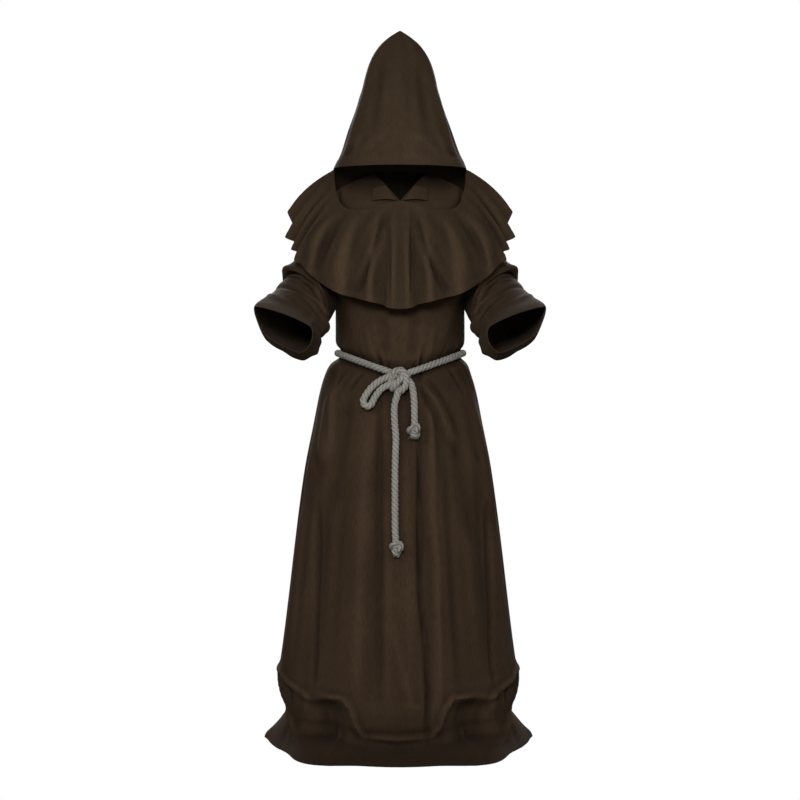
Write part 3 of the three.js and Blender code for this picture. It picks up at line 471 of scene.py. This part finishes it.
def hood_panel(side):
    """The outer points of one half of the hood, from the tip down to the edge."""
    down, right = grid_of(HOOD_ROWS, HOOD_COLUMNS)
    deg = 180 * right if side > 0 else 180 * (1 - right)
    turn = np.radians(deg)
    rings = len(HOOD_RINGS["k"]) - 1
    k = down * rings
    h, width, front, back = (read(HOOD_RINGS, "k", k, column) for column in ("h", "side", "front", "back"))
    h = h + smooth(k - rings + 1) * (hood_edge_height(deg) - HOOD_RINGS["h"][-1])
    depth = np.where(np.cos(turn) > 0, front, back)
    points = np.stack([side * np.maximum(0, width * np.sin(turn)), -depth * np.cos(turn), h], axis=-1)
    creases = HOOD_CREASES
    if side < 0:
        creases = [
            (at * 1.04, h0 + 8, to * 0.97, h1 + 6, out * 0.85, wide) for at, h0, to, h1, out, wide in creases
        ]
    push = crease_push(creases, deg, np.radians(width), h, 1)
    push = (push + ripple(points, RIPPLES["hood"])) * smooth(k / 2) * smooth((rings - k) / 0.6)
    push += HOOD_HEM * smooth((k - rings + 0.55) / 0.1)
    points = lifted(points, push)
    points[..., 0] = side * np.maximum(0, side * points[..., 0])
    points[:, (0, -1), 0] = 0
    return points


def neck_points(deg):
    """Points of the cape's neckline; behind the shoulder it follows the hood's edge."""
    away = np.where(deg > 180, 360 - deg, np.abs(deg))
    scoop = read_points(NECK_SCOOP, "deg", np.minimum(away, 90))
    turn = np.radians(away)
    width, back = HOOD_RINGS["side"][-1], HOOD_RINGS["back"][-1]
    behind = np.stack([width * np.sin(turn), -back * np.cos(turn), hood_edge_height(away)], axis=-1)
    points = np.where((away <= 90)[..., None], scoop, behind)
    points[..., 0] *= np.where((deg < 0) | (deg > 180), -1, 1)
    return points


def all_round(flutes, whole):
    """A half's flutes and their mirror images, one table from side to side."""
    if whole:
        rows = flutes + [(whole - neck, -x, y, h, swell) for neck, x, y, h, swell in flutes[-2::-1]]
    else:
        rows = [(-neck, -x, y, h, swell) for neck, x, y, h, swell in flutes[:0:-1]] + flutes
    return table(FLUTE_COLUMNS, rows)


def cape_panel(is_front, columns):
    """The outer points of the cape's front or back, from the neckline down to the hem."""
    flutes = all_round(CAPE_FRONT_FLUTES, 0) if is_front else all_round(CAPE_BACK_FLUTES, 360)
    share, right = grid_of(CAPE_ROWS, columns)
    k = right * (len(flutes["k"]) - 1)
    hem = read_points(flutes, "k", k)
    neck = neck_points(np.interp(k, flutes["k"], flutes["neck"]))
    points = neck + (hem - neck) * share[..., None]
    outward = unit(points * (1, 1, 0))
    outward[..., 2] = 0.5
    swell = read(flutes, "k", k, "swell") * 4 * share * (1 - share)
    points = points + outward * swell[..., None]
    push = ripple(points, RIPPLES["cape"])
    if is_front:
        push += crease_push(CAPE_CREASES, hem[..., 0], 0.35 + 0.65 * share, share, CAPE_DROP)
    push *= smooth(share / 0.06) * smooth((1 - np.abs(2 * right - 1)) / 0.02)
    push += CAPE_HEM * smooth((share - 0.93) / 0.01)
    return behind_or_in_front(lifted(points, push), is_front)


def lapel_panel(side):
    """The outer points of a lapel, which lies on the front panel."""
    down, across = grid_of(*LAPEL_GRID)

    def place(name):
        inner_high, outer_high, inner_low, outer_low = LAPEL_CORNERS[name]
        return mix(mix(inner_high, outer_high, across), mix(inner_low, outer_low, across), down)

    points = yoke_points(True, side * place("u"), place("v"))
    points[..., 1] -= LAPEL_LIFT + LAPEL_ROLL * np.sin(np.pi * across) * down
    return points if side > 0 else points[:, ::-1]


def unit(vectors):
    """The same directions with length 1."""
    return vectors / np.linalg.norm(vectors, axis=-1, keepdims=True)


def lengths(line):
    """How far along a line each of its points is."""
    return np.concatenate([[0], np.cumsum(np.linalg.norm(np.diff(line, axis=0), axis=1))])


def at_lengths(at, along, line):
    """Places on a line, given how far along they are."""
    return np.stack([np.interp(at, along, column) for column in line.T], axis=-1)


def length_along(points, axis):
    """How far along the cloth each point is, in metres."""
    steps = np.linalg.norm(np.diff(points, axis=axis), axis=2)
    zero = np.zeros_like(steps[:1] if axis == 0 else steps[:, :1])
    return np.concatenate([zero, np.cumsum(steps, axis=axis)], axis=axis) * MM


def neighbours_mean(points, reach):
    """The mean place of the points around each point of a grid, so many steps to each side."""
    for axis in (0, 1):
        room = [(0, 0)] * points.ndim
        room[axis] = (reach, reach)
        wide = np.pad(points, room, mode="edge")
        size = points.shape[axis]
        steps = range(2 * reach + 1)
        points = sum(np.take(wide, range(n, n + size), axis=axis) for n in steps) / len(steps)
    return points


def raised(points):
    """From -1 in a crease's trough to 1 on its ridge, for each point of a grid."""
    above = np.sum((points - neighbours_mean(points, 3)) * normals_of(points), axis=2)
    return np.clip(neighbours_mean(above, 1) / 1.6, -1, 1)


def edit_all(operator, **settings):
    """Runs an operator on the whole mesh of the active piece."""
    bpy.ops.object.mode_set(mode="EDIT")
    bpy.ops.mesh.select_all(action="SELECT")
    operator(**settings)
    bpy.ops.object.mode_set(mode="OBJECT")


def cloth_shell(name, points, closed_round=False):
    """A thin wall of cloth on a grid of outer points, with its weave's own measure as UV."""
    rows, columns = points.shape[:2]
    bpy.ops.object.select_all(action="DESELECT")
    bpy.ops.mesh.primitive_grid_add(x_subdivisions=columns - 1, y_subdivisions=rows - 1, size=1)
    cloth = bpy.context.active_object
    cloth.name = cloth.data.name = name
    placed = points[::-1].copy()
    placed[..., 2] -= SHOULDER_HEIGHT
    cloth.data.vertices.foreach_set("co", (placed * MM).astype(np.float32).ravel())
    ridges = cloth.data.attributes.new("raised", "FLOAT", "POINT")
    ridges.data.foreach_set("value", raised(points)[::-1].astype(np.float32).ravel())
    across, down = length_along(placed, 1), length_along(placed, 0)
    across -= across[:, columns // 2][:, None]
    corner = np.empty(len(cloth.data.loops), np.int32)
    cloth.data.loops.foreach_get("vertex_index", corner)
    weave = np.stack([across.ravel()[corner], down.ravel()[corner]], axis=1)
    cloth.data.uv_layers.active.data.foreach_set("uv", weave.astype(np.float32).ravel())
    cloth.data.update()
    if closed_round:
        edit_all(bpy.ops.mesh.remove_doubles, threshold=0.00005)
    wall = cloth.modifiers.new("wall", "SOLIDIFY")
    wall.thickness = CLOTH * MM
    wall.offset = -1
    bpy.ops.object.modifier_apply(modifier=wall.name)
    bpy.ops.object.shade_smooth_by_angle(angle=math.radians(50))
    return cloth


def stitch_rows(name, rows_of):
    """Small raised stitches along rows of points, each row with its outward normals."""
    vertices, faces = [], []
    for line, normals in rows_of:
        along = lengths(line)
        for number, at in enumerate(np.arange(STITCH_PITCH, along[-1] - STITCH_PITCH, STITCH_PITCH)):
            steps = np.array([-STITCH_HALF_LENGTH, 0, STITCH_HALF_LENGTH])
            start, middle, end = at_lengths(at + steps, along, line)
            out = unit(at_lengths(at, along, normals))
            aside = np.cross(out, unit(end - start)) * STITCH_HALF_WIDTH
            first = len(vertices)
            sway = aside * 0.5 * math.sin(number * 2.4)
            vertices.extend([
                start - out * 0.3, middle + aside + sway, middle - aside + sway, middle + out * 0.36 + sway,
                end - out * 0.3, middle - out * 0.4,
            ])
            faces.extend([first + corner for corner in face] for face in STITCH_FACES)
    return mesh_piece(name, vertices, faces)


def row_of(points, row):
    """One row of a cloth's grid with its normals."""
    return points[row], normals_of(points)[row]


def column_of(points, column):
    """One column of a cloth's grid with its normals."""
    return points[:, column], normals_of(points)[:, column]


def frayed_end(name, place, spread, length):
    """Loose fibres that hang out of a rope's cut end."""
    vertices, faces = [], []
    for number in range(FIBRES):
        turn = number * FIBRE_TURN
        out = spread * math.sqrt((number + 0.5) / FIBRES)
        root = np.array([out * math.cos(turn), out * math.sin(turn) * 0.8, 0.0])
        lean = np.array([math.cos(turn * 1.7), math.sin(turn * 2.3), 0]) * 0.35 + root / spread * 0.45
        tip = root + (lean - (0, 0, 1)) * length * (0.65 + 0.35 * math.sin(number * 1.9))
        bend = (root + tip) / 2 + lean * 1.2
        first = len(vertices)
        for middle, thick in ((root, 0.45), (bend, 0.36), (tip, 0.12)):
            for corner in range(3):
                around = corner * 2 * math.pi / 3 + turn
                rim = np.array([math.cos(around), math.sin(around), 0]) * thick
                vertices.append(np.array(place) + middle + rim)
        for low in (first, first + 3):
            for corner in range(3):
                after = (corner + 1) % 3
                faces.append((low + corner, low + after, low + 3 + after, low + 3 + corner))
        faces.extend([(first + 2, first + 1, first), (first + 6, first + 7, first + 8)])
    return mesh_piece(name, vertices, faces)


def smooth_line(points, step):
    """A smooth curve through a rope's points, in even steps."""
    rows = table("x y h", points)
    line = read_points(rows, "k", np.linspace(0, len(points) - 1, len(points) * 12))
    along = lengths(line)
    return at_lengths(np.linspace(0, along[-1], max(3, round(along[-1] / step) + 1)), along, line)


def frames_along(line):
    """Two directions across a line at each point, turning no more than the line does."""
    ahead = unit(np.gradient(line, axis=0))
    side = np.cross(ahead[0], (0.31, 0.92, 0.23))
    sides = []
    for direction in ahead:
        side = unit(side - direction * (side @ direction))
        sides.append(side)
    sides = np.array(sides)
    return sides, np.cross(ahead, sides)


def twisted_rope(name, points, thick=ROPE):
    """A rope of three strands laid round the line through the points, and that line."""
    line = smooth_line(points, ROPE_STEP)
    first, second = frames_along(line)
    count = len(line)
    along = np.arange(count) * np.linalg.norm(line[1] - line[0])
    vertices, faces, uvs = [], [], []
    around = np.arange(STRAND_SIDES) * 2 * np.pi / STRAND_SIDES
    for number in range(STRANDS):
        turn = -2 * np.pi * (along / ROPE_LAY + number / STRANDS)
        outward = first * np.cos(turn)[:, None] + second * np.sin(turn)[:, None]
        middle = line + outward * (STRAND_OFFSET * thick)
        sideways = np.cross(unit(np.gradient(middle, axis=0)), outward)
        start = len(vertices)
        for n in range(count):
            ring = np.outer(np.cos(around), outward[n]) + np.outer(np.sin(around), sideways[n] * 1.08)
            vertices.extend(middle[n] + STRAND_SHARE * thick * ring)
        for n in range(count - 1):
            low, high = start + n * STRAND_SIDES, start + (n + 1) * STRAND_SIDES
            v0, v1 = along[n] * MM, along[n + 1] * MM
            for m in range(STRAND_SIDES):
                after = (m + 1) % STRAND_SIDES
                faces.append((low + m, low + after, high + after, high + m))
                u0, u1 = m / STRAND_SIDES, (m + 1) / STRAND_SIDES
                uvs.extend([(u0, v0), (u1, v0), (u1, v1), (u0, v1)])
        for ring_start, flip in ((start, True), (start + (count - 1) * STRAND_SIDES, False)):
            cap = [ring_start + m for m in range(STRAND_SIDES)]
            faces.append(cap[::-1] if flip else cap)
            uvs.extend([(0.5, 0)] * STRAND_SIDES)
    return mesh_piece(name, vertices, faces, uvs), line


def mesh_piece(name, vertices, faces, uvs=None):
    """A piece from points in millimetres above the floor."""
    placed = np.array(vertices, float)
    placed[:, 2] -= SHOULDER_HEIGHT
    mesh = bpy.data.meshes.new(name)
    mesh.from_pydata((placed * MM).tolist(), [], faces)
    if uvs:
        mesh.uv_layers.new(name="UVMap").data.foreach_set("uv", np.array(uvs, np.float32).ravel())
    piece = bpy.data.objects.new(name, mesh)
    bpy.context.scene.collection.objects.link(piece)
    mesh.update()
    bpy.ops.object.select_all(action="DESELECT")
    piece.select_set(True)
    bpy.context.view_layer.objects.active = piece
    edit_all(bpy.ops.mesh.normals_make_consistent, inside=False)
    bpy.ops.object.shade_smooth()
    return piece


def knot_line(centre, half, thick, tilt):
    """The closed way of a rope through a tight overhand knot of that half size."""
    t = np.linspace(0, 2 * np.pi, LINE_POINTS)
    across = np.sin(t) + 2 * np.sin(2 * t)
    up = np.cos(t) - 2 * np.cos(2 * t)
    deep = -np.sin(3 * t)
    c, s = math.cos(tilt), math.sin(tilt)
    room = [size - thick / 2 for size in half]
    x = centre[0] + (c * across - s * up) / 3 * room[0]
    y = centre[1] + deep * room[1]
    h = centre[2] + (s * across + c * up) / 3 * room[2]
    return np.stack([x, y, h], axis=1)


def skirt_front(h):
    """y of the plain skirt's front at a height."""
    rings = {"k": -ROBE_RINGS["h"], "front": ROBE_RINGS["front"]}
    return -float(read(rings, "k", -h, "front"))


def hanging_y(h):
    """y of a rope that hangs just off the skirt's front."""
    return skirt_front(h) - ROPE / 2 - TAIL_CLEARANCE


def waist_line():
    """The belt's way round the waist, open for the knot in front."""
    out = ROPE / 2 + BELT_CLEARANCE
    ring = {name: column[BELT_RING] for name, column in ROBE_RINGS.items()}
    points = []
    for deg in np.linspace(5, 355, LINE_POINTS):
        turn = math.radians(deg)
        in_front = math.cos(turn) > 0
        depth = (ring["front"] if in_front else ring["back"]) + out
        sag = ring["dip"] * (1 - abs(math.sin(turn))) if in_front else 0
        x = ring["middle"] + (ring["side"] + out) * math.sin(turn)
        points.append((x, -depth * math.cos(turn), ring["h"] - sag))
    return points


def tail_line(drop):
    """A tail's way down from the knot, in front of the skirt."""
    return [(x, min(KNOT_ROPE_Y, hanging_y(h)) if n else KNOT_ROPE_Y, h) for n, (x, h) in enumerate(drop)]


def loop_line():
    """The bow loop's way, off the knot and on to the skirt."""
    return [
        (x, mix(LOOP_ROPE_Y, skirt_front(h) - ROPE / 2 - LOOP_CLEARANCE, float(smooth(-x / 60))), h)
        for x, h in LOOP_BEND
    ]


def metres(line):
    """A line in metres from the middle of the shoulder line."""
    return [(x * MM, y * MM, (h - SHOULDER_HEIGHT) * MM) for x, y, h in line]


def node_maker(holder):
    """Empties a material's or world's nodes, and gives the function that adds new ones."""
    holder.use_nodes = True
    nodes, links = holder.node_tree.nodes, holder.node_tree.links
    nodes.clear()

    def add(kind, inputs=None, **settings):
        node = nodes.new("ShaderNode" + kind)
        for name, value in settings.items():
            setattr(node, name, value)
        for name, value in (inputs or {}).items():
            if isinstance(value, bpy.types.NodeSocket):
                links.new(value, node.inputs[name])
            else:
                node.inputs[name].default_value = value
        return node

    return add


def span(add, value, start, end, low, high, **settings):
    """A value that runs from start to end, moved to run from low to high."""
    inputs = {"Value": value, "From Min": start, "From Max": end, "To Min": low, "To Max": high}
    return add("MapRange", inputs, **settings).outputs["Result"]


def math_node(add, operation, *values):
    """The result of a sum on values or other nodes."""
    return add("Math", dict(enumerate(values)), operation=operation).outputs["Value"]


def blended(add, share, dark, light):
    """A colour between two, by that share."""
    mixed = add("Mix", {0: share, 6: (*dark, 1), 7: (*light, 1)}, data_type="RGBA")
    return mixed.outputs[2]


def scaled(add, colour, tone):
    """A colour made lighter or darker by a tone."""
    return add("VectorMath", {0: colour, "Scale": tone}, operation="SCALE").outputs["Vector"]


def surface(add, inputs):
    """The material's shader, with those inputs, and its output."""
    shader = add("BsdfPrincipled", inputs)
    add("OutputMaterial", {"Surface": shader.outputs["BSDF"]})


def brown_cloth(name, base, worn, fold_shade, hollow_shade_reach):
    """Matt plain-weave cloth: fine crossing threads, slubs, uneven dye and a soft sheen, with painted
    shade: ridges painted lighter and troughs painted darker by the given share, the cloth darker
    towards the hem, and darker where it is closed in, seen that many metres round near the neck."""
    material = bpy.data.materials.new(name)
    add = node_maker(material)
    place = add("TexCoord").outputs
    warp, weft = (
        add("TexWave", {
            "Vector": place["UV"], "Scale": scale, "Distortion": sway, "Detail": 2.0, "Detail Scale": 3.0,
        }, bands_direction=way).outputs["Fac"]
        for scale, sway, way in ((190.0, 1.2, "X"), (205.0, 1.4, "Y"))
    )
    weave = math_node(add, "MULTIPLY", warp, weft)
    slub_way = add("Mapping", {"Vector": place["UV"], "Scale": (1.0, 0.12, 1.0)})
    slubs = add("TexNoise", {"Vector": slub_way.outputs["Vector"], "Scale": 420.0, "Detail": 3.0})
    dye = add("TexNoise", {"Vector": place["Object"], "Scale": 5.0, "Detail": 5.0, "Roughness": 0.6})
    height = add("SeparateXYZ", {"Vector": place["Object"]}).outputs["Z"]
    ridges = add("Attribute", attribute_name="raised")
    shades = [
        span(add, slubs.outputs["Fac"], 0.3, 0.7, 0.82, 1.14),
        span(add, weave, 0, 1, 0.93, 1.07),
        # Painted shade: the cloth darker towards the hem, standing in for light that falls off downwards.
        span(add, height, -1.415, -1.33, 0.58, 1, interpolation_type="SMOOTHSTEP"),
        # Painted fold shading: ridges painted lighter and troughs painted darker, from the raised attribute.
        span(add, ridges.outputs["Fac"], -1, 1, 1 - fold_shade, 1 + fold_shade),
    ]
    if hollow_shade_reach:
        # Painted shade in hollows: ambient occlusion darkens cloth that is closed in, reaching furthest near
        # the neck, where the hood's shadow falls.
        reach = span(add, height, -0.14, -0.07, 0.07, hollow_shade_reach, interpolation_type="SMOOTHSTEP")
        hollow = add("AmbientOcclusion", {"Distance": reach}, samples=10)
        shades.append(span(add, hollow.outputs["AO"], 0.25, 0.85, 0.3, 1))
    tone = shades[0]
    for shade in shades[1:]:
        tone = math_node(add, "MULTIPLY", tone, shade)
    dyed = blended(add, span(add, dye.outputs["Fac"], 0.3, 0.7, 0, 1), base, worn)
    heights = math_node(add, "ADD", weave, slubs.outputs["Fac"])
    bump = add("Bump", {"Height": heights, "Strength": 0.35, "Distance": 0.0004})
    surface(add, {
        "Base Color": scaled(add, dyed, tone),
        "Roughness": 0.9,
        "Specular IOR Level": 0.08,
        "Sheen Weight": 0.04,
        "Sheen Roughness": 0.45,
        "Sheen Tint": (0.8, 0.62, 0.46, 1),
        "Normal": bump.outputs["Normal"],
    })
    return material


def rope_fibre():
    """Grey-beige twisted fibre: fine yarns round each strand, and painted shade where the strands meet."""
    material = bpy.data.materials.new("twisted_fibre")
    add = node_maker(material)
    place = add("TexCoord").outputs
    parts = add("SeparateXYZ", {"Vector": place["UV"]})
    # Painted shade: each strand darker on its side that faces the others, where the strands meet.
    outside = math_node(add, "COSINE", math_node(add, "MULTIPLY", parts.outputs["X"], 2 * math.pi))
    groove_shade = span(add, outside, -0.1, 0.75, 0.42, 1)
    yarn_way = add("Mapping", {"Vector": place["UV"], "Scale": (9.0, 330.0, 1.0)})
    yarns = add("TexWave", {
        "Vector": yarn_way.outputs["Vector"], "Scale": 0.32, "Distortion": 1.4, "Detail": 2.0,
    }, bands_direction="DIAGONAL")
    fuzz, tint = (
        add("TexNoise", {"Vector": place["Object"], "Scale": scale, "Detail": detail})
        for scale, detail in ((900.0, 4.0), (30.0, 3.0))
    )
    shade = blended(add, tint.outputs["Fac"], (0.275, 0.25, 0.214), (0.36, 0.355, 0.328))
    tone = math_node(add, "MULTIPLY", span(add, yarns.outputs["Fac"], 0, 1, 0.8, 1.08), groove_shade)
    heights = math_node(add, "ADD", yarns.outputs["Fac"], fuzz.outputs["Fac"])
    bump = add("Bump", {"Height": heights, "Strength": 0.7, "Distance": 0.0006})
    surface(add, {
        "Base Color": scaled(add, shade, tone),
        "Roughness": 0.95,
        "Specular IOR Level": 0.08,
        "Sheen Weight": 0.08,
        "Normal": bump.outputs["Normal"],
    })
    return material


def sewing_thread():
    """Dark brown thread with a faint gloss."""
    material = bpy.data.materials.new("sewing_thread")
    add = node_maker(material)
    place = add("TexCoord").outputs
    twist = add("TexNoise", {"Vector": place["Object"], "Scale": 1500.0, "Detail": 2.0})
    shade = blended(add, twist.outputs["Fac"], (0.018, 0.0115, 0.007), (0.034, 0.022, 0.0135))
    surface(add, {"Base Color": shade, "Roughness": 0.6, "Specular IOR Level": 0.25})
    return material


def make_camera():
    """The photograph's view, straight from the front at waist height."""
    camera = bpy.data.cameras.new("camera")
    camera.lens = 70.6
    camera.sensor_width = 36
    camera.clip_end = 100
    holder = bpy.data.objects.new("camera", camera)
    holder.location = (0, -4.0, -0.42)
    holder.rotation_euler = (math.radians(90 - 1.97), 0, 0)
    bpy.context.scene.collection.objects.link(holder)
    bpy.context.scene.camera = holder


def area_light(name, place, aim, size, power):
    """A round lamp that shines at aim."""
    light = bpy.data.lights.new(name, "AREA")
    light.shape = "DISK"
    light.size = size
    light.energy = power
    holder = bpy.data.objects.new(name, light)
    holder.location = place
    holder.rotation_euler = (Vector(aim) - Vector(place)).to_track_quat("-Z", "Y").to_euler()
    bpy.context.scene.collection.objects.link(holder)


def white_to_camera(add, unseen, white):
    """White where the camera sees it, and something dimmer for the light that it gives."""
    path = add("LightPath")
    inputs = {0: path.outputs["Is Camera Ray"], 1: unseen.outputs[0], 2: white.outputs[0]}
    return add("MixShader", inputs).outputs["Shader"]


def make_stage():
    """A plain white ground and soft studio light."""
    bpy.ops.object.select_all(action="DESELECT")
    bpy.ops.mesh.primitive_plane_add(size=60, location=(0, 0, -SHOULDER_HEIGHT * MM))
    floor = bpy.context.active_object
    floor.name = "floor"
    material = bpy.data.materials.new("pale_floor")
    add = node_maker(material)
    white = add("Emission", {"Color": (1, 1, 1, 1), "Strength": 1.0})
    dim = add("BsdfDiffuse", {"Color": (0.12, 0.115, 0.11, 1)})
    add("OutputMaterial", {"Surface": white_to_camera(add, dim, white)})
    floor.data.materials.append(material)

    world = bpy.data.worlds.new("studio")
    bpy.context.scene.world = world
    add = node_maker(world)
    soft, white = (add("Background", {"Color": (1, 1, 1, 1), "Strength": power}) for power in (0.09, 1.0))
    add("OutputWorld", {"Surface": white_to_camera(add, soft, white)})

    area_light("key", (-0.3, -3.7, 0.5), (0, 0, -0.45), 0.8, 74)
    area_light("fill", (0.5, -4.6, -0.5), (0, 0, -0.7), 1.0, 18)
    for word, x in (("left", -2.3), ("right", 2.3)):
        area_light(f"{word}_side", (x, -3.0, 0.9), (0, -0.3, -0.4), 0.5, 22)
    for word, x in (("left", -1.3), ("right", 1.3)):
        area_light(f"{word}_back", (x, 4.2, 1.0), (0, 0, -0.5), 1.6, 125)
    bpy.context.scene.view_settings.view_transform = "Standard"


def dress(piece, material, node=None):
    """Gives a piece its material and the root body, and hides the model's part for the node that it stands
    for.
    """
    piece.data.materials.clear()
    piece.data.materials.append(material)
    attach(piece, "root")
    if node:
        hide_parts(node)


def make_ropes(fibre):
    """The belt: the waist rope, its knot, a bow loop and two hanging tails with end knots."""
    dress(twisted_rope("waist_rope", waist_line())[0], fibre, "belt_waist")
    dress(twisted_rope("bow_knot", KNOT_TURNS)[0], fibre, "belt_knot")

    loop, loop_path = twisted_rope("bow_loop", loop_line())
    dress(loop, fibre, "belt_loop")
    loop_path = metres(loop_path)
    for word, drop, length, lean, centre, fray in (
        ("long", LONG_TAIL_DROP, 0.393, 0.1, (-8.4, hanging_y(513) - 6, 512), (-8.4, 497, 5, 5)),
        ("short", SHORT_TAIL_DROP, 0.133, 0.5, (34.5, hanging_y(800) - 6, 795), (33, 783, 7.5, 10)),
    ):
        knotted = knot_line(centre, END_KNOT_HALF, END_KNOT_ROPE, lean)
        end = twisted_rope(f"end_knot_{word}", knotted, END_KNOT_ROPE)[0]
        dress(end, fibre, f"tail_knot_{word}")
        fray_x, fray_h, spread, long = fray
        loose = frayed_end(f"frayed_end_{word}", (fray_x, centre[1], fray_h), spread, long)
        dress(loose, fibre)
        stub_line = [(fray_x + step * 0.15, centre[1], fray_h + step) for step in (8, 2, -5)]
        stub = twisted_rope(f"cut_end_{word}", stub_line, CUT_END_ROPE)[0]
        dress(stub, fibre)
        tail, tail_path = twisted_rope(f"{word}_tail", tail_line(drop))
        dress(tail, fibre, f"belt_tail_{word}")
        tail_path = metres(tail_path)


def sew(name, rows_of, thread):
    """Rows of stitches as a piece of their own."""
    dress(stitch_rows(name, rows_of), thread)


def make_cloth(robe, sleeve_cloth, cape, hood, thread):
    """Each sewn panel as a thin shell with its stitches."""
    front_points, back_points = robe_panel(True), robe_panel(False)
    front = cloth_shell("front_panel", front_points)
    dress(front, robe, "robe_front")
    back = cloth_shell("back_panel", back_points)
    dress(back, robe, "robe_back")
    sew("robe_hem_stitches", [row_of(front_points, -7), row_of(back_points, -7)], thread)
    for word, side in (("left", -1), ("right", 1)):
        sleeve_points = sleeve_panel(side)
        sleeve = cloth_shell(f"bell_sleeve_{word}", sleeve_points, True)
        dress(sleeve, sleeve_cloth, f"sleeve_{word}")
        seams = [row_of(sleeve_points, -5), row_of(sleeve_points, 3)]
        sew(f"cuff_stitches_{word}", seams, thread)

        hood_points = hood_panel(side)
        half_hood = cloth_shell(f"hood_half_{word}", hood_points)
        dress(half_hood, hood, f"hood_{word}")
        seams = [row_of(hood_points, -7), row_of(hood_points, -2)]
        seams.append(column_of(hood_points, 1 if side > 0 else -2))
        sew(f"hood_stitches_{word}", seams, thread)

        lapel = cloth_shell(f"neck_lapel_{word}", lapel_panel(side))
        dress(lapel, cape, f"lapel_{word}")
    for word, is_front, columns, rests_on, flat, area in (
        ("front", True, 290, "robe_front", (1.05, 0.29), 0.175),
        ("back", False, 220, "robe_back", (0.98, 0.27), 0.16),
    ):
        points = cape_panel(is_front, columns)
        panel = cloth_shell(f"cape_{word}_panel", points)
        dress(panel, cape, f"cape_{word}")
        sew(f"cape_{word}_stitches", [row_of(points, -4), row_of(points, 2)], thread)


make_camera()
make_ropes(rope_fibre())
make_cloth(
    brown_cloth("robe_weave", (0.0405, 0.0245, 0.0140), (0.0485, 0.0298, 0.0172), 0.3, 0.4),
    # The sleeves are the robe's own cloth, painted darker: painted shade for the sides.
    brown_cloth("shaded_sleeve_weave", (0.0300, 0.0188, 0.0109), (0.0358, 0.0228, 0.0134), 0.36, 0),
    brown_cloth("cape_weave", (0.0395, 0.0250, 0.0142), (0.0470, 0.0300, 0.0174), 0.4, 0.08),
    brown_cloth("hood_weave", (0.0395, 0.0252, 0.0144), (0.0470, 0.0304, 0.0178), 0.36, 0.08),
    sewing_thread(),
)
make_stage()
